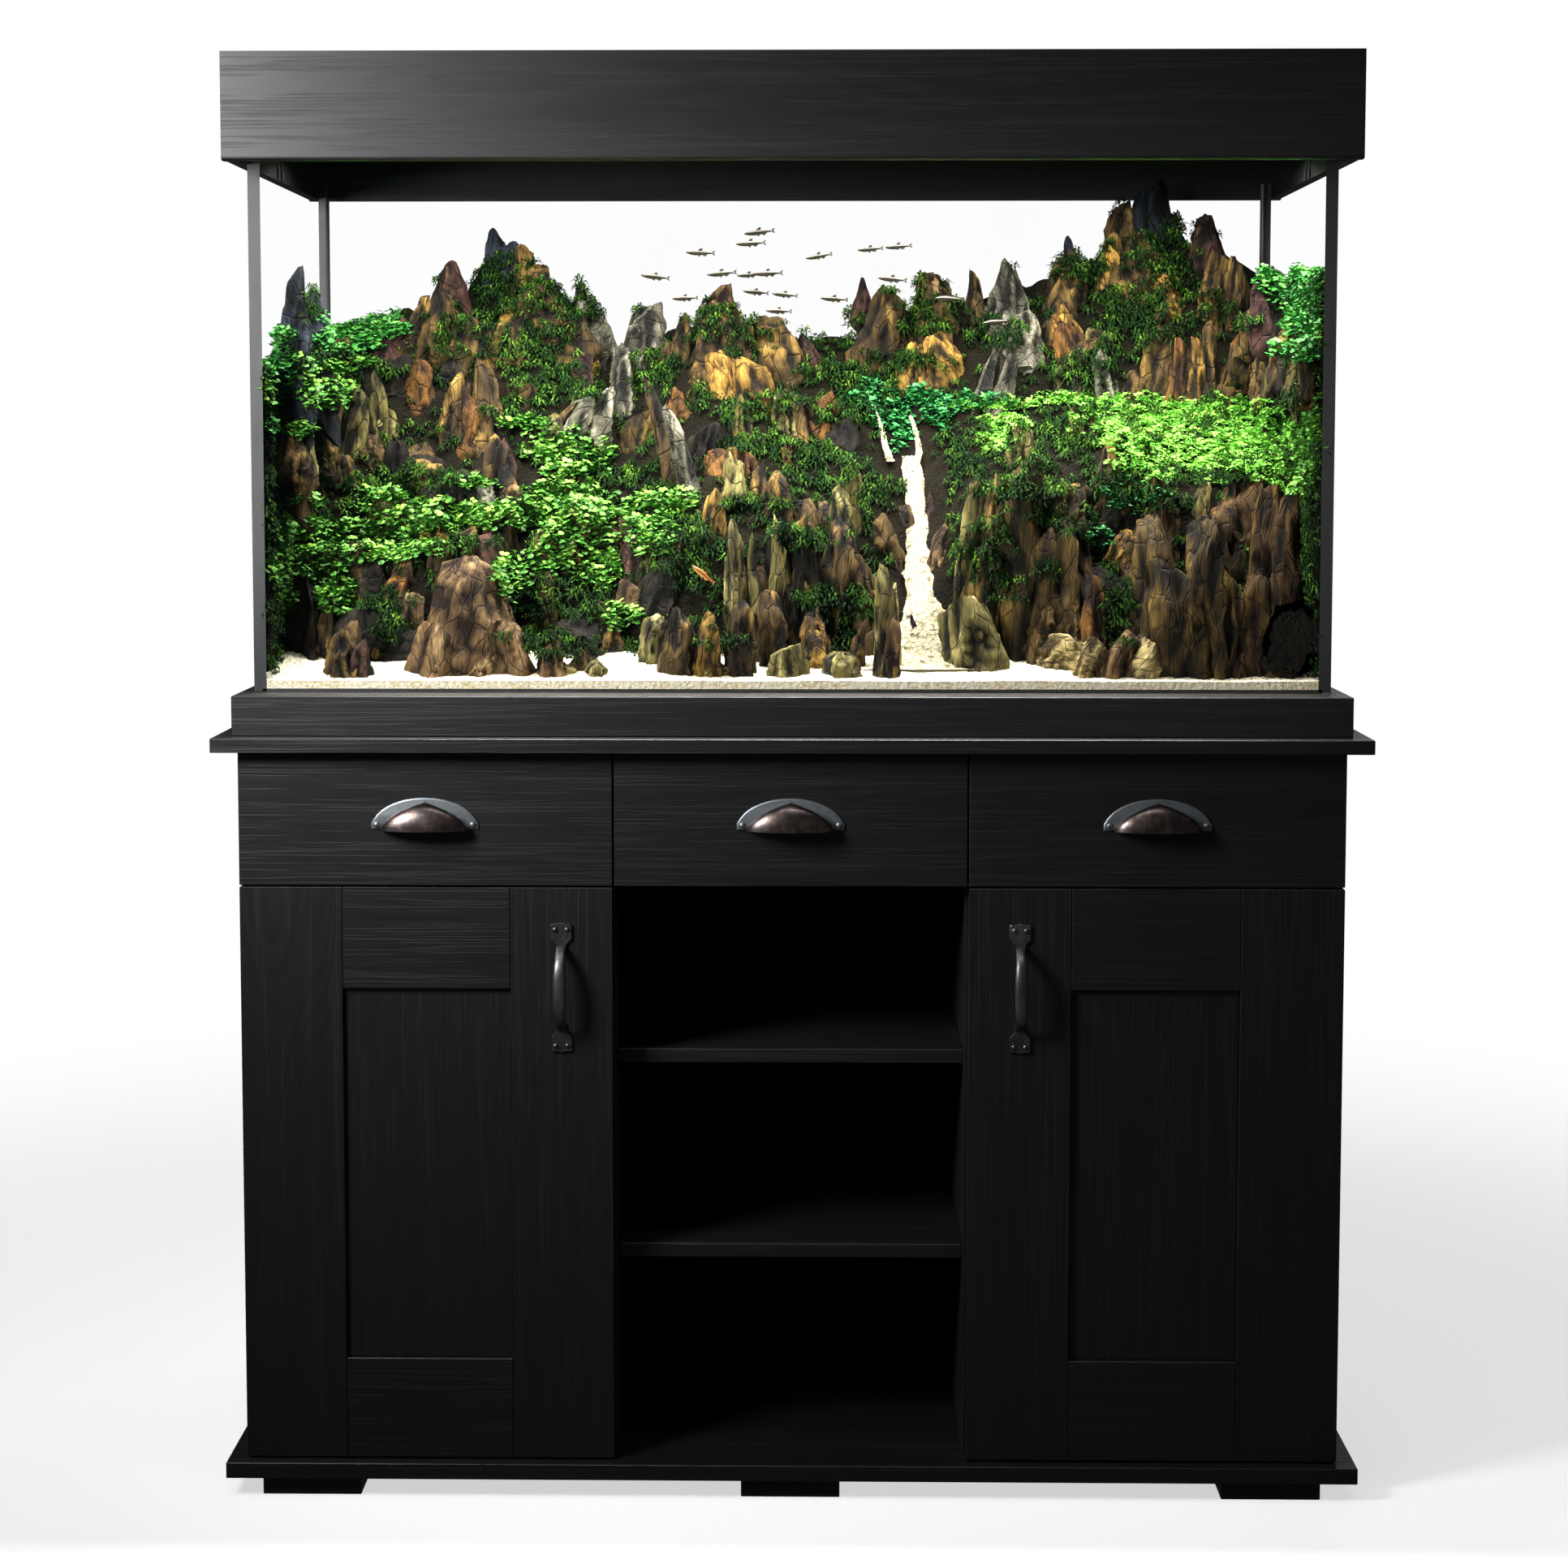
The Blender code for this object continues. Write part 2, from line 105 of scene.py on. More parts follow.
hang_lamp("lamp_left", (-1.20, -1.10, 1.64), (-0.42, -0.25, 1.20), (0.45, 0.7), 11, spread=98)
hang_lamp("lamp_over", (0.0, -0.95, 3.6), (0.0, -0.1, 1.0), (1.6, 0.5), 9)
hang_lamp("lamp_rear", (0.6, 2.6, 2.6), (0.0, 0.2, 0.9), (2.0, 1.4), 15)
hang_lamp("lamp_tank", (0.0, -0.15, 1.535), (0.0, -0.06, 1.0), (1.12, 0.08), 12, WARM, 110)
hang_lamp("lamp_grid", (-0.95, -1.30, 1.27), (0.0, 0.0, 1.22), (1.34, 0.46), 1.3, WARM, 14)
hang_lamp("lamp_bar", (0.0, 0.03, 1.545), (0.0, 0.03, 1.0), (1.12, 0.05), 6, WARM, 152)

world = bpy.data.worlds.new("studio")
scene.world = world
world.use_nodes = True
sky = world.node_tree.nodes["Background"]
plain_sky = world.node_tree.nodes.new("ShaderNodeBackground")
plain_sky.inputs["Color"].default_value = WHITE
sky.inputs["Color"].default_value = WHITE
sky.inputs["Strength"].default_value = 0.035
seen = world.node_tree.nodes.new("ShaderNodeLightPath")
either = world.node_tree.nodes.new("ShaderNodeMixShader")
world.node_tree.links.new(seen.outputs["Is Camera Ray"], either.inputs[0])
world.node_tree.links.new(sky.outputs[0], either.inputs[1])
world.node_tree.links.new(plain_sky.outputs[0], either.inputs[2])
world.node_tree.links.new(either.outputs[0], world.node_tree.nodes["World Output"].inputs[0])


class Line:
    """A value on its way through a finish. Sums and products on it add their Math nodes."""

    def __init__(self, tree, socket=None):
        self.tree = tree
        self.socket = socket

    def node(self, kind, settings=None, sockets=None, out=0):
        """Adds any node: its settings first, then what its sockets hold or take in."""
        made = self.tree.nodes.new("ShaderNode" + kind)
        for name, value in (settings or {}).items():
            if name == "stops":
                ramp = made.color_ramp
                while len(ramp.elements) < len(value):
                    ramp.elements.new(0.5)
                for stop, (place, colour) in zip(ramp.elements, value):
                    stop.position = place
                    stop.color = (*colour, 1.0)
            else:
                setattr(made, name, value)
        for name, value in (sockets or {}).items():
            if isinstance(value, Line):
                self.tree.links.new(value.socket, made.inputs[name])
            elif isinstance(value, tuple) and len(made.inputs[name].default_value) == 4:
                made.inputs[name].default_value = (*value, 1.0)
            else:
                made.inputs[name].default_value = value
        return Line(self.tree, made.outputs[out])

    def math(self, operation, *values):
        return self.node("Math", {"operation": operation}, dict(enumerate(values)))

    def __add__(self, other):
        return self.math("ADD", self, other)

    def __sub__(self, other):
        return self.math("SUBTRACT", self, other)

    def __rsub__(self, other):
        return self.math("SUBTRACT", other, self)

    def __mul__(self, other):
        return self.math("MULTIPLY", self, other)

    __radd__ = __add__
    __rmul__ = __mul__

    def step(self, low, high):
        """0 below low, 1 above high, and an even slope between."""
        return self.node(
            "MapRange", {"interpolation_type": "SMOOTHSTEP"}, {0: self, 1: low, 2: high}
        )

    def mix(self, one, two, blend="MIX"):
        """A colour between two others, with this value as the share of the second."""
        settings = {"data_type": "RGBA", "blend_type": blend}
        return self.node("Mix", settings, {0: self, 6: one, 7: two}, 2)

    def speckle(self, where, scale, detail=3.0, rough=0.55, twist=0.0):
        """Noise from 0 to 1 over a place."""
        sockets = {"Vector": where, "Scale": scale, "Detail": detail}
        sockets |= {"Roughness": rough, "Distortion": twist}
        return self.node("TexNoise", {}, sockets)

    def spread(self, move=(0, 0, 0), turn=(0, 0, 0), scale=(1, 1, 1), where=None):
        """The place on the piece in metres, moved, turned and stretched."""
        where = where or self.node("TexCoord", out=3)
        sockets = {"Vector": where, "Location": Vector(move), "Rotation": Vector(turn)}
        return self.node("Mapping", {}, sockets | {"Scale": Vector(scale)})

    def bump(self, height, strength, depth):
        sockets = {"Height": height, "Strength": strength, "Distance": depth}
        return self.node("Bump", {}, sockets)


def new_finish(name, **fixed):
    """A finish whose even values are set on the shader itself. Returns it, its shader and a Line."""
    finish = bpy.data.materials.new(name)
    finish.use_nodes = True
    shader = finish.node_tree.nodes["Principled BSDF"]
    for socket, value in fixed.items():
        label = socket.replace("_", " ").title().replace("Ior", "IOR")
        shader.inputs[label].default_value = (*value, 1.0) if isinstance(value, tuple) else value
    return finish, shader, Line(finish.node_tree)


def feed(shader, **lines):
    for socket, line in lines.items():
        label = socket.replace("_", " ").title()
        line.tree.links.new(line.socket, shader.inputs[label])


FLOOR_RADIUS = 2.6
FLOOR_FADE = (1.1, 2.5)

disc = bmesh.new()
bmesh.ops.create_circle(disc, cap_ends=True, segments=96, radius=FLOOR_RADIUS)
floor_mesh = bpy.data.meshes.new("floor")
disc.to_mesh(floor_mesh)
disc.free()
floor = bpy.data.objects.new("floor", floor_mesh)
scene.collection.objects.link(floor)
floor.visible_diffuse = False
floor.visible_glossy = False

floor_finish, floor_shader, line = new_finish("pale_floor", roughness=0.9)
floor_shader.inputs["Base Color"].default_value = (0.86, 0.86, 0.85, 1.0)
floor_shader.inputs["Specular IOR Level"].default_value = 0.0
floor_shader.inputs["Emission Color"].default_value = WHITE
floor_shader.inputs["Emission Strength"].default_value = 0.62
away = line.node("VectorMath", {"operation": "LENGTH"}, {0: line.spread()}, 1)
clear = line.node("BsdfTransparent")
solid = Line(line.tree, floor_shader.outputs[0])
faded = line.node("MixShader", {}, {0: away.step(*FLOOR_FADE), 1: solid, 2: clear})
line.tree.links.new(faded.socket, line.tree.nodes["Material Output"].inputs["Surface"])
floor_mesh.materials.append(floor_finish)
floor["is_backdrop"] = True

# ---- Bearers and base board --------------------------------------------------------------------
# Three flat bearers lie across under the base board and keep it off the floor.
# Every board of the cabinet is chipboard faced with a black ash-grain foil, glued and doweled.

FOIL_DARK = (0.0006, 0.0006, 0.0007)
FOIL_FACE = (0.0068, 0.0068, 0.0071)
PORE_PITCH = 0.0024
BAND_PITCH = 0.016
ARCH_PITCH = 0.085


def black_ash(name, along="x", seed=0.0, arches=0.5):
    """Black foil with an ash grain: fine pores, soft bands and arched rings, run along one axis."""
    finish, shader, line = new_finish(name, specular_ior_level=0.75)

    def stretched(pitch, ratio):
        scale = [1 / pitch] * 3
        scale["xyz".index(along)] = 1 / (pitch * ratio)
        return line.spread((seed * 3.7, seed * 5.3, seed * 1.9), scale=scale)

    pores = line.speckle(stretched(PORE_PITCH, 70), 1.0, 2.0, 0.6)
    bands = line.speckle(stretched(BAND_PITCH, 30), 1.0, 2.0, 0.5)
    field = line.speckle(stretched(ARCH_PITCH, 7.5), 1.0, 1.0, 0.4, 0.4)
    rings = line.math("SINE", field * 95.0 + bands * 3.0) * 0.5 + 0.5
    arch = rings.step(0.35, 0.95) * arches
    open_pore = 1.0 - (pores + (bands - 0.5) * 0.55).step(0.34, 0.47)
    grain = 0.62 + bands.step(0.25, 0.75) * 0.16 + arch * 0.22 - open_pore * 0.62
    feed(
        shader,
        base_color=grain.math("MINIMUM", grain, 1.0).mix(FOIL_DARK, FOIL_FACE),
        roughness=0.60 - grain * 0.19,
        normal=line.bump(grain, 0.5, 0.00045),
    )
    return finish


def reface(node_name, finish):
    """Gives a CAD piece its finish."""
    piece = nodes[node_name]
    piece.data.materials.clear()
    piece.data.materials.append(finish)


for count, side in enumerate(("left", "middle", "right")):
    reface(f"bearer_{side}", black_ash(f"ash_bearer_{side}", "y", 1.3 + count, 0.2))
reface("base_board", black_ash("ash_base", "x", 7.1, 0.3))

# ---- Cabinet boards ----------------------------------------------------------------------------
# Two sides, two dividers and two shelves make the three bays, and the table board closes them.
# The grain runs up the standing boards and along the lying ones. The back is thin hardboard.

for seed, name in enumerate(("side_panel_left", "side_panel_right", "divider_left", "divider_right")):
    reface(name, black_ash(f"ash_{name}", "z", 11.7 + seed * 2.3, 0.6))
for seed, name in enumerate(("shelf_upper", "shelf_lower", "table_top")):
    reface(name, black_ash(f"ash_{name}", "x", 23.1 + seed * 3.1, 0.4))


def mottled(name, dark, light, grain, rough, relief, stretch=(1, 1, 1), **fixed):
    """A finish of two close colours, mixed by one noise that also roughens and raises it.
    Grain is the noise's scale and detail, rough its least roughness and the noise's share."""
    finish, shader, line = new_finish(name, **fixed)
    mottle = line.speckle(line.spread(scale=stretch), *grain)
    feed(
        shader,
        base_color=mottle.mix(dark, light),
        roughness=rough[0] + mottle * rough[1],
        normal=line.bump(mottle, *relief),
    )
    return finish


fibres = ((0.008, 0.007, 0.007), (0.022, 0.020, 0.019), (260.0, 4.0, 0.7))
reface("back_panel", mottled("hardboard_back", *fibres, (0.70, 0.2), (0.3, 0.0003)))

# ---- Runners and hinge arms --------------------------------------------------------------------
# Zinc-plated steel, pressed and screwed to the cabinet sides. They show only with a drawer or a
# door open.

zinc_finish, zinc_shader, line = new_finish("zinc_plate", metallic=1.0)
crystals = line.node("TexVoronoi", {}, {"Vector": line.spread(), "Scale": 420.0})
smears = line.speckle(line.spread(scale=(1.0, 0.15, 1.0)), 160.0, 3.0)
feed(
    zinc_shader,
    base_color=smears.mix((0.42, 0.43, 0.45), (0.66, 0.67, 0.68)),
    roughness=0.26 + crystals * 0.12 + smears * 0.12,
    normal=line.bump(smears, 0.15, 0.0002),
)
for name in nodes:
    if name.startswith(("runner_", "hinge_arm_")):
        reface(name, zinc_finish)

# ---- Plinth ------------------------------------------------------------------------------------
# A low box on the table board that the tank stands on: a front board, two side boards and a
# level deck between them, faced with the same foil.

for seed, name in enumerate(("plinth_front", "plinth_left", "plinth_right", "plinth_deck")):
    along = "y" if name in ("plinth_left", "plinth_right") else "x"
    reface(name, black_ash(f"ash_{name}", along, 31.9 + seed * 1.7, 0.3))

# ---- Tank --------------------------------------------------------------------------------------
# Five panes of 10 mm float glass with ground edges. The front and back panes lap the ends of the
# side panes, and black silicone holds them: it shows as a dark strip up each corner and along the
# bottom.

SEAL_BEAD = 0.0045  # reach of the rounded bead into the tank
SEAL_SLACK = 0.00004  # left between the silicone and the glass
SEAL_FOOT = 0.0035

glass_finish, glass_shader, line = new_finish(
    "tank_glass", base_color=(0.03, 0.045, 0.042), ior=1.5, specular_ior_level=0.5
)
smudge = line.speckle(line.spread(), 7.0, 4.0, 0.6)
feed(glass_shader, roughness=smudge * 0.05 + 0.01, alpha=smudge.step(0.3, 0.8) * 0.004 + 0.004)
for side in ("front", "back", "left", "right", "bottom"):
    reface(f"glass_{side}", glass_finish)

ripples = ((0.026, 0.027, 0.028), (0.040, 0.041, 0.043), (90.0, 3.0), (0.34, 0.18), (0.3, 0.0004))
seal_finish = mottled("black_silicone", *ripples, stretch=(1.0, 1.0, 0.2), specular_ior_level=0.5)


def new_piece(name, form, finishes, body, smooth=None):
    """Makes a piece of a mesh in its true place and lets it ride on a body of the frame."""
    bmesh.ops.recalc_face_normals(form, faces=form.faces)
    mesh = bpy.data.meshes.new(name)
    form.to_mesh(mesh)
    form.free()
    for finish in finishes:
        mesh.materials.append(finish)
    if smooth is not None:
        mesh.shade_smooth()
        mesh.set_sharp_from_angle(angle=math.radians(smooth))
    piece = bpy.data.objects.new(name, mesh)
    scene.collection.objects.link(piece)
    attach(piece, body)
    return piece


def add_skin(form, rings):
    """A closed skin over rings of points, capped at both ends."""
    loops = [[form.verts.new(point) for point in ring] for ring in rings]
    count = len(loops[0])
    for one, two in zip(loops, loops[1:]):
        for i in range(count):
            j = (i + 1) % count
            form.faces.new((one[i], one[j], two[j], two[i]))
    form.faces.new(loops[0][::-1])
    form.faces.new(loops[-1])


def close_columns(form, columns):
    """Faces between neighbouring columns of corners, closed at both ends."""
    for one, two in zip(columns, columns[1:]):
        for j in range(len(one)):
            k = (j + 1) % len(one)
            form.faces.new((one[j], two[j], two[k], one[k]))
    form.faces.new(columns[0])
    form.faces.new(columns[-1][::-1])


tank_low, tank_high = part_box("glass_front")
front_inner, rear_inner = tank_high.y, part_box("glass_back")[0].y
side_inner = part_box("glass_left")[1].x
tank_half, tank_floor = tank_high.x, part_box("glass_bottom")[1].z
side_front, side_rear = (corner.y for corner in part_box("glass_left"))

form = bmesh.new()
for mirror in (-1, 1):
    for pane, turn, ends in ((front_inner, 1, side_front), (rear_inner, -1, side_rear)):
        outer, inner = mirror * (tank_half - 0.0006), mirror * (-side_inner - SEAL_SLACK)
        lip = inner - mirror * SEAL_BEAD
        near, far = pane + turn * SEAL_SLACK, ends - turn * SEAL_SLACK
        outline = [(outer, near), (lip, near)]
        for step in range(1, 5):
            swing = math.pi / 2 * step / 4
            across = lip + mirror * SEAL_BEAD * (1 - math.cos(swing))
            outline.append((across, near + turn * (SEAL_BEAD * math.sin(swing))))
        outline += [(inner, far), (outer, far)]
        rings = [[(x, y, z) for x, y in outline] for z in (tank_low.z + 0.0005, tank_high.z - 0.0005)]
        add_skin(form, rings)
new_piece("corner_silicone", form, [seal_finish], "stand")

form = bmesh.new()
bottom_low, bottom_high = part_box("glass_bottom")
for near, far in (
    (front_inner + SEAL_SLACK, bottom_low.y - SEAL_SLACK),
    (bottom_high.y + SEAL_SLACK, rear_inner - SEAL_SLACK),
):
    ring = [(near, tank_low.z + SEAL_SLACK), (far, tank_low.z + SEAL_SLACK)]
    ring += [(far, tank_low.z + SEAL_FOOT), (near, tank_low.z + SEAL_FOOT)]
    add_skin(form, [[(x, y, z) for y, z in ring] for x in (side_inner, -side_inner)])
new_piece("bottom_silicone", form, [seal_finish], "stand")

# ---- Lie of the ground -------------------------------------------------------------------------
# The bed is read in the plane through the tank's middle, as a person in front of it sees it, and
# each thing is then set back or forward along that person's sight. Widths and heights are in mm.

EYE = Vector((19.0, -3211.0, 1206.0))
side_reach = -side_inner * 1000
READ_DEPTH = -60.0
WALL_SLACK = 3.0

GROUND_Y = (-130, -110, -80, -30, 30, 90, 150, 200)
SAND_Y, SAND_SEEN = (-200, -150), (910, 927)  # open sand ahead of the banks
GROUND_X = (-600, -500, -400, -300, -200, -100, 0, 80, 150, 210, 300, 400, 500, 600)
GROUND_Z = (  # seen height of the ground, front to back, at each x
    (925, 965, 1050, 1085, 1165, 1245, 1300, 1325),
    (925, 965, 1050, 1095, 1160, 1235, 1300, 1330),
    (925, 960, 1040, 1095, 1165, 1245, 1325, 1365),
    (925, 945, 1025, 1105, 1180, 1265, 1345, 1380),
    (925, 945, 1005, 1065, 1120, 1190, 1265, 1300),
    (925, 975, 1065, 1130, 1185, 1250, 1315, 1340),
    (925, 970, 1060, 1125, 1175, 1230, 1285, 1315),
    (925, 950, 1020, 1090, 1150, 1210, 1275, 1320),
    (925, 938, 985, 1055, 1130, 1190, 1260, 1350),
    (925, 960, 1090, 1155, 1190, 1220, 1295, 1360),
    (925, 1000, 1130, 1178, 1208, 1237, 1325, 1385),
    (925, 1000, 1125, 1165, 1200, 1240, 1360, 1430),
    (925, 1000, 1125, 1160, 1200, 1240, 1355, 1420),
    (925, 1000, 1120, 1158, 1200, 1240, 1315, 1365),
)


def seen_height(x, y):
    """Seen height of the ground at a seen x and a depth."""
    column = [np.interp(x, GROUND_X, [row[k] for row in GROUND_Z]) for k in range(len(GROUND_Y))]
    return float(np.interp(y, GROUND_Y, column))


def seen_depth(x, z):
    """Depth at which the ground is seen at x and z."""
    column = [np.interp(x, GROUND_X, [row[k] for row in GROUND_Z]) for k in range(len(GROUND_Y))]
    return float(np.interp(z, (*SAND_SEEN, *column[1:]), (*SAND_Y, *GROUND_Y[1:])))


def wall_depth(x):
    """How far back a thing seen at x can stand before it meets a side pane."""
    room = side_reach - WALL_SLACK
    reach = (room - EYE.x) / max(x - EYE.x, 1.0) if x > EYE.x else (room + EYE.x) / max(EYE.x - x, 1.0)
    return EYE.y + reach * (READ_DEPTH - EYE.y)


def set_back(x, z, y):
    """The true place, in metres, of what is seen at x and z in the middle plane but stands at y."""
    y = min(y, wall_depth(x))
    share = (y - EYE.y) / (READ_DEPTH - EYE.y)
    return Vector((EYE.x + (x - EYE.x) * share, y, EYE.z + (z - EYE.z) * share)) / 1000


# ---- Sand --------------------------------------------------------------------------------------
# Cream quartz sand, washed, about 1 mm grain with coarser tan and brown grains that settle against
# the front pane. It rises to the back, and a path of it runs up between the rocks.

# True depth, and height of the sand over the bottom pane (mm)
SAND_RISE = ((-201, 2.5), (-185, 5.5), (-150, 14), (-120, 27), (-90, 34), (246, 38))
GRAINS_PER_M2 = 52000
PATH = (  # seen x, seen z and half width of the path's middle, from its foot up
    (165, 926, 95),
    (166, 946, 62),
    (160, 966, 40),
    (160, 990, 27),
    (158, 1015, 22),
    (155, 1040, 23),
    (155, 1065, 20),
    (152, 1090, 17),
    (146, 1115, 13),
    (145, 1140, 11),
    (142, 1160, 12),
    (138, 1178, 9),
)
TRICKLES = (
    ((98, 1236, 1.6), (103, 1220, 2.4), (107, 1204, 3.0), (111, 1186, 3.8), (116, 1172, 4.4)),
    ((139, 1226, 1.8), (144, 1212, 2.6), (148, 1196, 3.2), (150, 1182, 3.9), (146, 1168, 4.4)),
)


def dye(red, green, blue):
    """A colour as a painter mixes it, 0 to 255, made linear."""
    shares = (value / 255 for value in (red, green, blue))
    return tuple(s / 12.92 if s <= 0.04045 else ((s + 0.055) / 1.055) ** 2.4 for s in shares)


def sand_finish(name, whole, tan, brown, painted_hollow_shade=0.3):
    finish, shader, line = new_finish(name, specular_ior_level=0.3)
    place = line.spread()
    grains = line.node("TexVoronoi", {}, {"Vector": place, "Scale": 620.0})
    kinds = line.node("TexVoronoi", {}, {"Vector": place, "Scale": 620.0}, 1)
    kind = line.node("SeparateColor", {}, {0: kinds})
    near = line.node("SeparateXYZ", {}, {0: place}, 1)
    settled = (1.0 - near.step(-0.2005, -0.1995)) * 0.25
    drift = line.speckle(place, 26.0, 3.0)
    cream = kind.mix(whole, tuple(c * 0.74 for c in whole))
    tanned = (kind * 0.5 + drift * 0.55 + settled * 0.55).step(0.74, 0.92)
    browned = (kind * 0.65 + settled * 0.36 + drift * 0.1).step(0.86, 0.90)
    colour = browned.mix(tanned.mix(cream, tan), brown)
    lumps = line.node("TexVoronoi", {}, {"Vector": place, "Scale": 210.0})
    # Painted shade: the gaps between lumps, and a coarser mottle, are darkened towards a deep tan by the
    # hollow-shade share.
    pits = lumps.step(0.35, 0.75) * painted_hollow_shade + line.speckle(place, 90.0, 3.0).step(0.5, 0.75) * painted_hollow_shade
    colour = pits.mix(colour, tuple(c * 0.22 for c in tan))
    feed(
        shader,
        base_color=colour,
        roughness=0.62 + grains * 0.3,
        normal=line.bump(1.0 - grains * 0.4 - lumps * 0.6, 0.9, 0.0022),
    )
    return finish


bed_finish = sand_finish("quartz_sand", dye(250, 243, 216), dye(208, 184, 126), dye(96, 72, 42), 0.14)
# The path is the same quartz sand given darker colours and far more darkening between its lumps: painted
# shade on the path.
shaded_path_finish = sand_finish("path_sand_shaded", dye(196, 188, 156), dye(146, 128, 88), dye(66, 50, 30), 0.6)


def sand_top(x, y):
    """Height of the sand over the bottom pane, in metres, at a true x and y in metres."""
    depth, rise = zip(*SAND_RISE)
    swell = noise.noise(Vector((x * 9, y * 9, 2.0))) * 0.004
    ripple = noise.noise(Vector((x * 70, y * 70, 5.0))) * 0.0012
    ease = min(1.0, max(0.0, (y * 1000 + 201) / 25))
    return np.interp(y * 1000, depth, rise) / 1000 + (swell + ripple) * (0.35 + 0.65 * ease)


bed_x = [side_inner + 0.0004 + (-2 * side_inner - 0.0008) * i / 260 for i in range(261)]
bed_front, bed_rear = front_inner + 0.00035, rear_inner - 0.0006
bed_y = [bed_front + (bed_rear - bed_front) * (j / 60) ** 1.7 for j in range(61)]
bed_low = tank_floor + 0.0004
seal_top = tank_low.z + SEAL_FOOT + 0.0002
form = bmesh.new()
tops = [[form.verts.new((x, y, bed_low + float(sand_top(x, y)))) for y in bed_y] for x in bed_x]
feet = []
for x in bed_x:  # underside: down behind the front pane, back under the edge of the bottom pane
    lip = bottom_low.y - 0.0003
    run = [(bed_front, seal_top), (lip, seal_top), (lip, bed_low), (bed_rear, bed_low)]
    feet.append([form.verts.new((x, y, z)) for y, z in run])
for i in range(len(bed_x) - 1):
    for j in range(len(bed_y) - 1):
        form.faces.new((tops[i][j], tops[i + 1][j], tops[i + 1][j + 1], tops[i][j + 1]))
    for j in range(3):
        form.faces.new((feet[i][j], feet[i][j + 1], feet[i + 1][j + 1], feet[i + 1][j]))
    form.faces.new((feet[i][0], feet[i + 1][0], tops[i + 1][0], tops[i][0]))
    form.faces.new((tops[i][-1], tops[i + 1][-1], feet[i + 1][-1], feet[i][-1]))
form.faces.new(tops[0] + feet[0][::-1])
form.faces.new(feet[-1] + tops[-1][::-1])


def path_skin(form, run, thick):
    """A crowned strip of sand over the ground, along a run of seen places."""
    rings = []
    for x, z, half in run:
        back = seen_depth(x, z)
        ring = []
        for step in range(13):
            across = -1 + step / 6
            edge = x + across * half * (1 + 0.22 * noise.noise(Vector((z / 9, across, x / 50))))
            crown = thick * (1 - across * across) + 3.5 * noise.noise(Vector((edge / 7, z / 7, 1.0)))
            ring.append(set_back(edge, z, back - 6 - crown))
        ring.append(set_back(x + half, z, back + 14))
        ring.append(set_back(x - half, z, back + 14))
        rings.append(ring)
    add_skin(form, rings)


def finer(run, steps):
    """The same run with more places along it, on an even curve."""
    at = np.linspace(0, len(run) - 1, (len(run) - 1) * steps + 1)
    return [tuple(float(np.interp(t, range(len(run)), [r[k] for r in run])) for k in range(3)) for t in at]


path_form = bmesh.new()
path_skin(path_form, finer(PATH, 4), 9.0)
for trickle in TRICKLES:
    path_skin(path_form, finer(trickle, 3), 3.0)
sand = new_piece("sand_bed", form, [bed_finish], "stand", 60)
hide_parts("gravel_bed")
path = new_piece("sand_path", path_form, [shaded_path_finish], "stand", 60)

# ---- Loose grains and gravel -------------------------------------------------------------------
# Coarser quartz grains, 1 to 3 mm across, washed up out of the sand. They lie loose on the open
# strip in front and on the path, and catch the light.


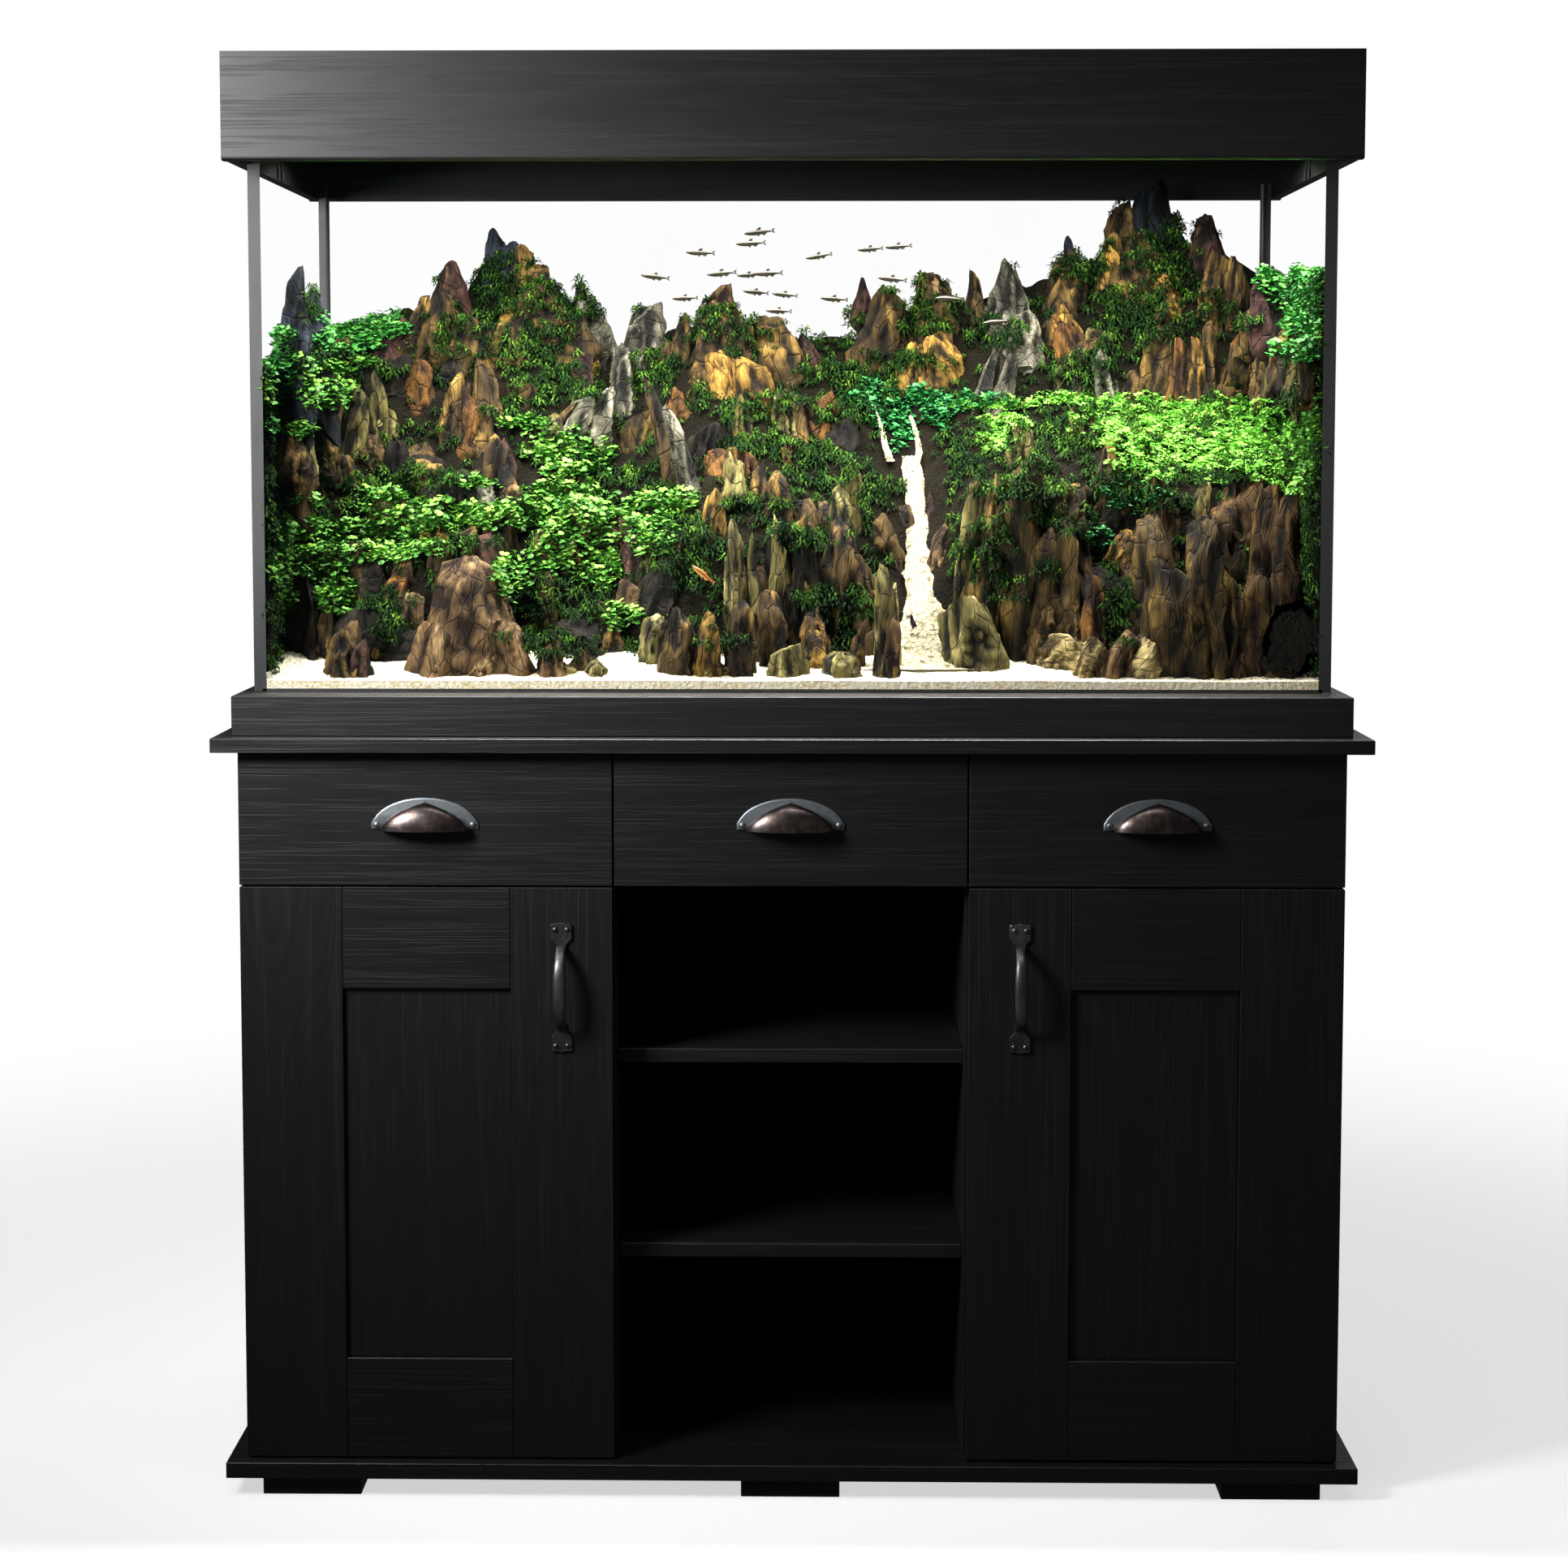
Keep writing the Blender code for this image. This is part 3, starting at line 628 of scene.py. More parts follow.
def scatter_tree(name):
    """Strews copies of one small form over the faces of a ground, thickest where it grows."""
    tree = bpy.data.node_groups.new(name, "GeometryNodeTree")
    inputs = {}
    for label, kind in (
        ("Ground", "Geometry"),
        ("Copy", "Object"),
        ("Per Square Metre", "Float"),
        ("Seed", "Int"),
        ("Least Size", "Float"),
        ("Most Size", "Float"),
        ("Tilt", "Float"),
        ("Lean To Ground", "Float"),
        ("Finish", "Material"),
    ):
        made = tree.interface.new_socket(label, in_out="INPUT", socket_type=f"NodeSocket{kind}")
        inputs[label] = made.identifier
    tree.interface.new_socket("Strewn", in_out="OUTPUT", socket_type="NodeSocketGeometry")

    def node(kind, settings=None, **sockets):
        made = tree.nodes.new(kind)
        for setting, value in (settings or {}).items():
            setattr(made, setting, value)
        for label, value in sockets.items():
            socket = made.inputs[label.replace("_", " ")]
            if hasattr(value, "node"):
                tree.links.new(value, socket)
            else:
                socket.default_value = value
        return made

    given = node("NodeGroupInput").outputs
    growth = node("GeometryNodeInputNamedAttribute", {"data_type": "FLOAT"}, Name="growth")
    much = node("ShaderNodeMath", {"operation": "MULTIPLY"})
    tree.links.new(growth.outputs[0], much.inputs[0])
    tree.links.new(given["Per Square Metre"], much.inputs[1])
    strewn = node(
        "GeometryNodeDistributePointsOnFaces",
        {"distribute_method": "RANDOM"},
        Mesh=given["Ground"],
        Density=much.outputs[0],
        Seed=given["Seed"],
    )
    tilt = node("ShaderNodeCombineXYZ", Z=2 * math.pi)
    untilt = node("ShaderNodeCombineXYZ")
    negative = node("ShaderNodeMath", {"operation": "MULTIPLY"})
    tree.links.new(given["Tilt"], negative.inputs[0])
    negative.inputs[1].default_value = -1.0
    for axis in ("X", "Y"):
        tree.links.new(given["Tilt"], tilt.inputs[axis])
        tree.links.new(negative.outputs[0], untilt.inputs[axis])
    spin = node(
        "FunctionNodeRandomValue",
        {"data_type": "FLOAT_VECTOR"},
        Min=untilt.outputs[0],
        Max=tilt.outputs[0],
        Seed=given["Seed"],
    )
    turned = node("FunctionNodeEulerToRotation", Euler=spin.outputs[0])
    leaned = node(
        "FunctionNodeAlignRotationToVector",
        {"axis": "Z"},
        Rotation=turned.outputs[0],
        Factor=given["Lean To Ground"],
        Vector=strewn.outputs["Normal"],
    )
    size = node("FunctionNodeRandomValue", {"data_type": "FLOAT"}, Seed=given["Seed"])
    tree.links.new(given["Least Size"], size.inputs[2])
    tree.links.new(given["Most Size"], size.inputs[3])
    copied = node("GeometryNodeObjectInfo", Object=given["Copy"])
    placed = node(
        "GeometryNodeInstanceOnPoints",
        Points=strewn.outputs["Points"],
        Instance=copied.outputs["Geometry"],
        Rotation=leaned.outputs[0],
        Scale=size.outputs[1],
    )
    chance = node("FunctionNodeRandomValue", {"data_type": "FLOAT"}, Seed=7)
    marked = node(
        "GeometryNodeStoreNamedAttribute",
        {"data_type": "FLOAT", "domain": "INSTANCE"},
        Geometry=placed.outputs[0],
        Name="chance",
        Value=chance.outputs[1],
    )
    real = node("GeometryNodeRealizeInstances", Geometry=marked.outputs[0])
    coated = node("GeometryNodeSetMaterial", Geometry=real.outputs[0], Material=given["Finish"])
    tree.links.new(coated.outputs[0], node("NodeGroupOutput").inputs[0])
    return tree, inputs


strew_tree, strew_inputs = scatter_tree("strew")


def strew(name, ground, copy, finish, per_m2, seed, sizes, tilt=0.4, lean=0.0):
    """Strews a copy over a ground mesh with a growth attribute, as one plain mesh on the stand."""
    piece = bpy.data.objects.new(name, ground)
    scene.collection.objects.link(piece)
    modifier = piece.modifiers.new("strew", "NODES")
    modifier.node_group = strew_tree
    values = {"Copy": copy, "Per Square Metre": per_m2, "Seed": seed, "Tilt": tilt}
    values |= {"Least Size": sizes[0], "Most Size": sizes[1]}
    values |= {"Lean To Ground": lean, "Finish": finish}
    for label, value in values.items():
        modifier[strew_inputs[label]] = value
    ready = piece.evaluated_get(bpy.context.evaluated_depsgraph_get())
    mesh = bpy.data.meshes.new_from_object(ready)
    piece.modifiers.clear()
    piece.data = mesh
    bpy.data.meshes.remove(ground)
    mesh.name = name
    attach(piece, "stand")
    return piece


def loose_copy(name, corners, faces, tip_light_and_shade=None):
    """A small form to copy, kept out of the finished model."""
    mesh = bpy.data.meshes.new(name)
    mesh.from_pydata(corners, [], faces)
    if tip_light_and_shade is not None:
        mesh.attributes.new("tip", "FLOAT", "POINT").data.foreach_set("value", tip_light_and_shade)
    copy = bpy.data.objects.new(name, mesh)
    scene.collection.objects.link(copy)
    return copy


def ground_mesh(name, triangles, weights):
    """A mesh of loose triangles with a growth weight on each."""
    mesh = bpy.data.meshes.new(name)
    corners = [corner for triangle in triangles for corner in triangle]
    mesh.from_pydata(corners, [], [(3 * i, 3 * i + 1, 3 * i + 2) for i in range(len(triangles))])
    layer = mesh.attributes.new("growth", "FLOAT", "FACE")
    layer.data.foreach_set("value", weights)
    return mesh


def triangles_of(piece):
    """Corners of every triangle of a piece, in metres."""
    mesh = piece.data
    mesh.calc_loop_triangles()
    places = np.empty(len(mesh.vertices) * 3)
    mesh.vertices.foreach_get("co", places)
    corners = np.empty(len(mesh.loop_triangles) * 3, dtype=np.int32)
    mesh.loop_triangles.foreach_get("vertices", corners)
    return places.reshape(-1, 3)[corners.reshape(-1, 3)]


def facing(triangles):
    """Unit normals of triangles."""
    across = np.cross(triangles[:, 1] - triangles[:, 0], triangles[:, 2] - triangles[:, 0])
    return across / np.maximum(np.linalg.norm(across, axis=1, keepdims=True), 1e-12)


nugget = loose_copy(
    "grain",
    [(1, 0.1, 0), (-0.9, 0.2, 0.1), (0.1, 0.9, -0.1), (-0.1, -0.8, 0), (0.1, 0, 0.8), (0, 0.1, -0.7)],
    [(0, 2, 4), (2, 1, 4), (1, 3, 4), (3, 0, 4), (2, 0, 5), (1, 2, 5), (3, 1, 5), (0, 3, 5)],
)
grain_finish, grain_shader, line = new_finish("loose_quartz", specular_ior_level=0.5)
pick = line.node("Attribute", {"attribute_name": "chance"}, out=2)
veins = line.speckle(line.spread(), 900.0, 2.0)
stops = [(0.0, dye(120, 92, 52)), (0.06, dye(196, 172, 118)), (0.3, dye(206, 192, 152))]
stops += [(0.65, dye(228, 220, 194)), (1.0, dye(246, 242, 226))]
grain_colour = line.node("ValToRGB", {"stops": stops}, {0: pick})
feed(
    grain_shader,
    base_color=veins.mix(grain_colour, (0.75, 0.72, 0.62), "MULTIPLY"),
    roughness=0.4 + veins * 0.3,
    normal=line.bump(veins, 0.3, 0.0003),
)
strewn = []
for piece in (sand, path):
    triangles = triangles_of(piece)
    middles, normals = triangles.mean(axis=1), facing(triangles)
    open_top = (normals[:, 2] > 0.2) | ((piece is path) & (normals[:, 1] < -0.2))
    if piece is sand:
        open_top &= (middles[:, 1] < -0.085) & (middles[:, 1] > front_inner + 0.004)
    strewn.append(triangles[open_top])
strewn = np.concatenate(strewn)
ground = ground_mesh("grain_ground", strewn, np.ones(len(strewn)))
grains = strew(
    "loose_grains", ground, nugget, grain_finish, GRAINS_PER_M2, 3, (0.0007, 0.0015), 1.5, 0.3
)
bpy.data.objects.remove(nugget)

# ---- Rockwork ----------------------------------------------------------------------------------
# Weathered sedimentary stones, bedded and jagged, stacked as cliffs, pillars and peaks on a bank of
# dark aquarium soil. Each lies as it was set by hand; none is glued.

ROCK_RINGS = 26
ROCK_SIDES = 30
STONE_GAP = 0.002  # kept from the side panes and the tank's bottom
FRONT_REACH = -191.0  # no stone comes nearer the front pane
REAR_REACH = 228.0  # and none goes further back

# Kind: body colour, colour of its second beds, colour of the painted shade in its hollows, share of second
# beds, slant of its beds and slope of its sides in degrees, how blunt its top is, how deep its crags are.
KINDS = {
    "slate": (dye(40, 47, 58), dye(66, 74, 88), dye(10, 12, 18), 0.35, 78, 22, 0.95, 0.8),
    "plum": (dye(70, 46, 40), dye(96, 68, 52), dye(19, 12, 10), 0.40, 62, 24, 0.95, 0.8),
    "umber": (dye(84, 65, 32), dye(146, 116, 58), dye(14, 10, 5), 0.38, 84, 19, 0.85, 1.15),
    "ochre": (dye(158, 122, 52), dye(108, 80, 34), dye(34, 24, 9), 0.40, 70, 17, 0.80, 1.1),
    "rust": (dye(94, 63, 25), dye(122, 84, 36), dye(30, 14, 5), 0.45, 80, 18, 0.85, 1.2),
    "ash": (dye(92, 90, 74), dye(166, 160, 140), dye(17, 17, 13), 0.45, 42, 20, 0.85, 1.1),
    "olive": (dye(106, 98, 52), dye(168, 158, 98), dye(20, 19, 9), 0.42, 84, 14, 0.80, 1.1),
    "mauve": (dye(108, 84, 52), dye(158, 128, 88), dye(30, 19, 11), 0.35, 74, 17, 0.75, 0.9),
    "column": (dye(74, 58, 23), dye(116, 92, 42), dye(15, 11, 5), 0.38, 86, 5, 0.95, 1.2),
    "red": (dye(80, 59, 26), dye(116, 88, 42), dye(20, 12, 6), 0.40, 82, 6, 0.90, 1.1),
    "cream": (dye(200, 180, 122), dye(150, 128, 78), dye(72, 58, 30), 0.40, 24, 12, 0.60, 0.9),
    # The "shade" kind is a near-black stone set low between the others where the bed lies in shade: painted
    # shade.
    "shade": (dye(26, 22, 11), dye(42, 35, 17), dye(4, 3, 2), 0.30, 84, 12, 0.80, 1.3),
}

rock_finish, rock_shader, line = new_finish("weathered_stone", specular_ior_level=0.18)
tint = line.node("Attribute", {"attribute_name": "stone"})
bedding = line.node("Attribute", {"attribute_name": "bedding"}, out=1)
place = line.spread()
thin = line.speckle(line.spread(scale=(380, 300, 34), where=bedding), 1.0, 4.0, 0.62, 0.6)
broad = line.speckle(line.spread(scale=(95, 80, 12), where=bedding), 1.0, 3.0, 0.55)
grit = line.speckle(place, 620.0, 4.0, 0.7)
cracks = line.node("TexVoronoi", {"feature": "DISTANCE_TO_EDGE"}, {
    "Vector": line.spread(scale=(70, 60, 26), where=bedding), "Scale": 1.0,
})
# Painted shade: the cracks are darkened to near black in the colour, and the same mask sinks them as grooves
# in the bump.
crack_groove_and_shade = 1.0 - cracks.step(0.0, 0.055)
light = thin.step(0.30, 0.72) * 0.55 + broad.step(0.30, 0.70) * 0.45
scale = line.node("CombineColor", {}, {k: light * 1.45 + grit * 0.45 + 0.02 for k in range(3)})
worked = line.node("Mix", {"data_type": "RGBA", "blend_type": "MULTIPLY"}, {0: 1.0, 6: tint, 7: scale}, 2)
feed(
    rock_shader,
    base_color=(crack_groove_and_shade * 0.55).mix(worked, (0.006, 0.004, 0.003)),
    roughness=0.50 + grit * 0.36 - light * 0.08,
    normal=line.bump(thin * 0.8 + broad * 0.8 + grit * 0.45 - crack_groove_and_shade * 0.5, 0.95, 0.0036),
)


def ridge(place):
    """Sharp-crested noise, 0 in its valleys and 1 on its crests."""
    return 1.0 - abs(noise.noise(place)) * 2.2


def chisel(rng, slope, blunt):
    """Faces that a stone is broken along: their outward directions, and how far out each lies."""
    faces = []
    count = 8
    for k in range(count):
        swing = 2 * math.pi * (k + rng.uniform(-0.38, 0.38)) / count
        rise = math.radians(slope + rng.uniform(-9, 9))
        out = Vector((math.cos(swing), math.sin(swing), 0)) * math.cos(rise)
        faces.append((out + Vector((0, 0, math.sin(rise))), rng.uniform(0.66, 1.0)))
    for _ in range(4):
        swing, rise = rng.uniform(0, 2 * math.pi), math.radians(rng.uniform(38, 74))
        out = Vector((math.cos(swing), math.sin(swing), 0)) * math.cos(rise)
        faces.append((out + Vector((0, 0, math.sin(rise))), rng.uniform(blunt, blunt + 0.35)))
    for _ in range(3):
        swing, rise = rng.uniform(0, 2 * math.pi), math.radians(rng.uniform(-70, -25))
        out = Vector((math.cos(swing), math.sin(swing), 0)) * math.cos(rise)
        faces.append((out + Vector((0, 0, math.sin(rise))), rng.uniform(0.80, 1.0)))
    return faces


def add_rock(form, kind, x, low, high, width, lean=0.0, forward=0.0, deep=0.72):
    """One stone from its seen foot to its seen top. Lean moves its top sideways, in mm."""
    body, second, painted_hollow_shade, share, slant, slope, blunt, crag = KINDS[kind]
    rng = random.Random(int(x * 31 + high * 17 + width * 7 + low))
    seed = Vector((x * 0.173, high * 0.291, width * 0.37))
    stone, bedding = form.verts.layers.float_color["stone"], form.verts.layers.float_vector["bedding"]
    half = width / 2
    face_y = max(seen_depth(x, low) - 0.5 * forward, FRONT_REACH)
    foot_y = min(face_y + 0.9 * half * deep, wall_depth(x - half), wall_depth(x + half))
    root = min(46.0, 0.35 * (high - low) + 10)
    tall = high - low + root
    faces = chisel(rng, slope, blunt)
    turn = Matrix.Rotation(math.radians(90 - slant), 3, "Y") @ Matrix.Rotation(seed.x, 3, "Z")
    beds_way = turn @ Vector((1, 0, 0))
    raws = []
    for i in range(ROCK_RINGS + 1):
        rise = math.pi * (i / ROCK_RINGS) ** 0.92
        for j in range(ROCK_SIDES):
            swing = 2 * math.pi * (j + 0.5 * (i % 2)) / ROCK_SIDES
            way = Vector((math.sin(rise) * math.cos(swing), math.sin(rise) * math.sin(swing), 0))
            way.z = -math.cos(rise)
            reach = min(out / max(way.dot(face), 1e-3) for face, out in faces)
            raws.append(way * min(reach, 1.9))
    top = max(raw.z for raw in raws)
    wide = max(abs(raw.x) for raw in raws if raw.z > -0.5)
    verts = []
    for raw in raws:
        shape = Vector((raw.x * half / wide, raw.y * half * deep / wide, (raw.z + 0.9) / (top + 0.9) * tall))
        share_up = min(1.0, max(0.0, shape.z / tall))
        out = Vector((raw.x, raw.y, 0.25 * raw.z)).normalized()
        coarse = noise.noise(Vector((shape.x / 26, shape.y / 26, shape.z / 58)) + seed)
        crest = ridge(Vector((shape.x / 13, shape.y / 13, shape.z / 52)) + seed * 2)
        fine = ridge(Vector((shape.x / 6.5, shape.y / 6.5, shape.z / 13)) + seed * 3)
        saw = (shape.dot(beds_way) / 9.0 + 1.6 * coarse) % 1.0
        push = crag * (coarse * 0.20 + (crest - 0.6) * 0.19) * min(half, 32)
        push += crag * ((fine - 0.5) * 2.2 - saw * 2.4) * min(1.0, half / 24)
        shape += out * (push * (1.0 - 0.55 * share_up**2))
        shape.x += lean * share_up**1.2
        near = min(max(foot_y + shape.y, FRONT_REACH), REAR_REACH)
        place = set_back(x + shape.x, low - root + shape.z, near)
        place.x = min(max(place.x, side_inner + STONE_GAP), -side_inner - STONE_GAP)
        place.z = max(place.z, bed_low + STONE_GAP)
        vert = form.verts.new(place)
        beds = noise.noise(Vector((shape.x / 22, shape.y / 22, shape.z / 40)) + seed * 5) + 0.5
        # Painted shade: each corner's colour runs from the hollow-shade colour in the crags' hollows to the
        # body and bed colours on the crests.
        clear_of_hollow_shade = min(1.0, max(0.0, (crest * 0.8 + fine * 0.35 + coarse * 0.6 - saw * 0.25 - 0.2) / 0.62))
        # Painted shade: stones are painted darker towards their foot.
        dark = 1.0 - 0.45 * (1 - share_up) ** 2
        mixed = [a + (b - a) * min(1, max(0, (beds - 1 + share) * 3)) for a, b in zip(body, second)]
        vert[stone] = (*((h + (c - h) * clear_of_hollow_shade) * dark for h, c in zip(painted_hollow_shade, mixed)), 1.0)
        vert[bedding] = turn @ (shape / 1000) + seed
        verts.append(vert)
    loops = [verts[i * ROCK_SIDES : (i + 1) * ROCK_SIDES] for i in range(ROCK_RINGS + 1)]
    for i, (one, two) in enumerate(zip(loops, loops[1:])):
        for j in range(ROCK_SIDES):
            k = (j + 1) % ROCK_SIDES
            if i % 2:
                form.faces.new((one[j], one[k], two[k]))
                form.faces.new((one[j], two[k], two[j]))
            else:
                form.faces.new((one[j], one[k], two[j]))
                form.faces.new((one[k], two[k], two[j]))
    bmesh.ops.remove_doubles(form, verts=[*loops[0], *loops[-1]], dist=0.0002)


def pile(name, rocks):
    """A pile of stones as one piece."""
    form = bmesh.new()
    form.verts.layers.float_color.new("stone")
    form.verts.layers.float_vector.new("bedding")
    for rock in rocks:
        add_rock(form, *rock)
    return new_piece(name, form, [rock_finish], "stand", 52)


# Kind, seen x, foot, top, width, lean to the right, how far forward of the ground (mm)
LEFT_PEAKS = (
    ("slate", -588, 1262, 1402, 50, 2, 6, 0.6),
    ("slate", -564, 1262, 1378, 56, 4, 6),
    ("slate", -588, 1236, 1342, 44, 0, 10),
    ("umber", -540, 1280, 1318, 46, 10, 0),
    ("plum", -404, 1325, 1408, 86, 2, 6),
    ("umber", -445, 1285, 1368, 62, 14, 10),
    ("umber", -415, 1285, 1372, 64, 8, 14),
    ("plum", -478, 1285, 1342, 58, 18, 6),
    ("slate", -347, 1372, 1446, 44, 0, 0),
    ("slate", -330, 1370, 1431, 44, -2, 6),
    ("slate", -366, 1375, 1406, 44, 10, 0),
    ("umber", -313, 1360, 1426, 40, -2, 8),
    ("umber", -300, 1340, 1404, 46, 2, 12),
    ("ochre", -330, 1318, 1356, 90, 14, 10),
    ("umber", -285, 1290, 1384, 130, -12, 2),
    ("slate", -246, 1345, 1383, 26, -2, 0),
    ("ash", -232, 1285, 1362, 76, -22, 6),
    ("ochre", -246, 1288, 1326, 38, 4, 14),
    ("plum", -262, 1255, 1302, 48, 22, 12),
    ("umber", -385, 1250, 1345, 120, 4, -4),
    ("umber", -352, 1195, 1295, 48, -12, 12),
    ("umber", -405, 1190, 1278, 44, 6, 14),
    ("rust", -372, 1190, 1262, 44, -8, 22),
    ("ochre", -388, 1215, 1266, 28, 4, 26),
    ("rust", -442, 1235, 1292, 52, 10, 10),
    ("olive", -520, 1180, 1264, 40, 14, 16),
    ("olive", -487, 1196, 1280, 36, -4, 18),
    ("olive", -582, 1172, 1256, 50, -6, 12),
    ("umber", -585, 1170, 1215, 60, 0, 16),
    ("umber", -440, 1148, 1196, 66, 4, 14),
    ("umber", -590, 1135, 1178, 42, 4, 12),
    ("umber", -524, 1135, 1180, 38, 0, 14),
    ("olive", -494, 1080, 1142, 36, 14, 14),
    ("umber", -470, 1080, 1128, 34, 6, 8),
    ("umber", -352, 1120, 1206, 62, 6, 18),
    ("ash", -362, 1118, 1154, 44, 2, 26),
    ("mauve", -328, 1108, 1146, 30, 0, 28),
    ("plum", -335, 1140, 1198, 34, -4, 26),
    ("umber", -403, 1125, 1152, 26, 0, 16),
)
LEFT_FOOT = (
    ("mauve", -377, 918, 1062, 128, -10, 12, 0.62),
    ("mauve", -352, 918, 1030, 110, -20, 4),
    ("mauve", -430, 918, 984, 80, 14, 20),
    ("mauve", -330, 918, 984, 76, -14, 22),
    ("mauve", -375, 918, 968, 76, 8, 34),
    ("plum", -362, 1020, 1090, 76, -10, 8),
    ("umber", -532, 916, 984, 58, 2, 20),
    ("plum", -512, 916, 962, 40, 0, 26),
    ("umber", -560, 940, 1020, 40, 8, -4),
    ("mauve", -470, 955, 1018, 60, 16, 4),
    ("umber", -512, 975, 1030, 52, -6, 0),
    ("mauve", -462, 1030, 1062, 34, 2, 10),
    ("umber", -555, 1020, 1068, 40, 10, 10),
    ("ochre", -424, 1072, 1108, 48, -4, 16),
    ("umber", -292, 1045, 1098, 70, 12, 16),
    ("umber", -262, 1040, 1078, 34, 8, 18),
    ("umber", -290, 985, 1044, 32, 2, 18),
    ("umber", -216, 965, 1008, 38, -10, 18),
    ("plum", -190, 1040, 1108, 34, 2, 12),
    ("mauve", -192, 1000, 1034, 40, 0, 12),
    ("mauve", -285, 916, 966, 52, -2, 22),
    ("olive", -276, 914, 938, 54, 0, 30),
    ("olive", -236, 914, 938, 44, 6, 28),
    ("umber", -252, 920, 948, 40, 0, 10),
    ("shade", -250, 930, 1000, 120, 0, -10),
    ("shade", -500, 930, 1000, 150, 0, -14),
    ("shade", -572, 936, 1040, 60, 0, -10),
    ("umber", -548, 938, 1000, 34, 0, 0),
)
MIDDLE = (
    ("ash", -186, 1262, 1358, 84, 14, 14),
    ("ash", -205, 1235, 1312, 46, 8, 24),
    ("ash", -242, 1196, 1262, 50, 26, 24),
    ("ash", -272, 1200, 1256, 40, 34, 20),
    ("umber", -285, 1205, 1244, 30, 30, 14),
    ("umber", -132, 1160, 1272, 34, -42, 30),
    ("ash", -112, 1140, 1240, 30, -38, 34),
    ("umber", -132, 1285, 1346, 30, 4, 4),
    ("umber", -148, 1278, 1312, 34, 0, 10),
    ("mauve", -86, 1318, 1381, 66, 0, 0),
    ("umber", -80, 1240, 1348, 128, 4, 2),
    ("ochre", -78, 1240, 1308, 92, -6, 12),
    ("ochre", -42, 1232, 1296, 60, -10, 14),
    ("umber", -4, 1262, 1344, 84, -24, 6),
    ("plum", 28, 1272, 1324, 46, -14, 10),
    ("umber", 20, 1192, 1246, 56, -8, 16),
    ("olive", -58, 1205, 1252, 30, 0, 24),
    ("olive", -6, 1212, 1258, 42, -4, 22),
    ("ochre", -96, 1088, 1142, 36, 4, 24),
    ("olive", -66, 1005, 1108, 34, -4, 34),
    ("olive", -38, 995, 1090, 24, -14, 36),
    ("olive", -14, 990, 1110, 30, -2, 34),
    ("umber", 12, 985, 1114, 52, 0, 26),
    ("olive", -64, 1126, 1184, 30, -6, 24),
    ("umber", -14, 1102, 1164, 54, -4, 22),
    ("umber", -40, 1130, 1176, 30, 4, 22),
    ("olive", -140, 1030, 1094, 64, 12, 12),
    ("umber", -132, 916, 1002, 62, 2, 22),
    ("ochre", -98, 916, 996, 44, -2, 30),
    ("umber", -62, 918, 1010, 48, 2, 24),
    ("olive", -168, 930, 992, 42, 6, 12),
    ("umber", -20, 930, 1020, 46, -6, 18),
    ("umber", 24, 950, 1004, 50, 4, 22),
    ("umber", 52, 985, 1112, 58, 4, 20),
    ("olive", 70, 1098, 1180, 34, 0, 24),
    ("olive", 60, 1085, 1148, 36, -4, 32),
    ("umber", 84, 985, 1070, 44, -4, 22),
    ("olive", -100, 912, 940, 76, 4, 36, 0.6),
    ("olive", -2, 913, 958, 56, -4, 32),
    ("ochre", 26, 930, 974, 46, 2, 24),
    ("olive", 56, 912, 950, 58, 2, 34),
    ("olive", 106, 918, 1052, 30, 2, 22),
    ("cream", 122, 930, 1030, 22, -6, 24),
    ("mauve", 112, 912, 1000, 34, 6, 30),
    ("umber", 120, 911, 934, 30, 0, 38),
    ("umber", 70, 930, 990, 30, 14, 26),
    ("plum", 150, 966, 992, 16, -10, 34),
    ("umber", 122, 1052, 1112, 40, -22, 18),
    ("umber", 138, 1096, 1122, 24, -6, 16),
    ("mauve", 174, 1060, 1100, 34, 6, 16),
    ("plum", 162, 1112, 1136, 20, 0, 10),
    ("umber", 147, 1088, 1098, 15, 0, 18),
    ("shade", 0, 950, 1100, 90, 0, -10),
    ("shade", -160, 960, 1060, 90, 0, -10),
)
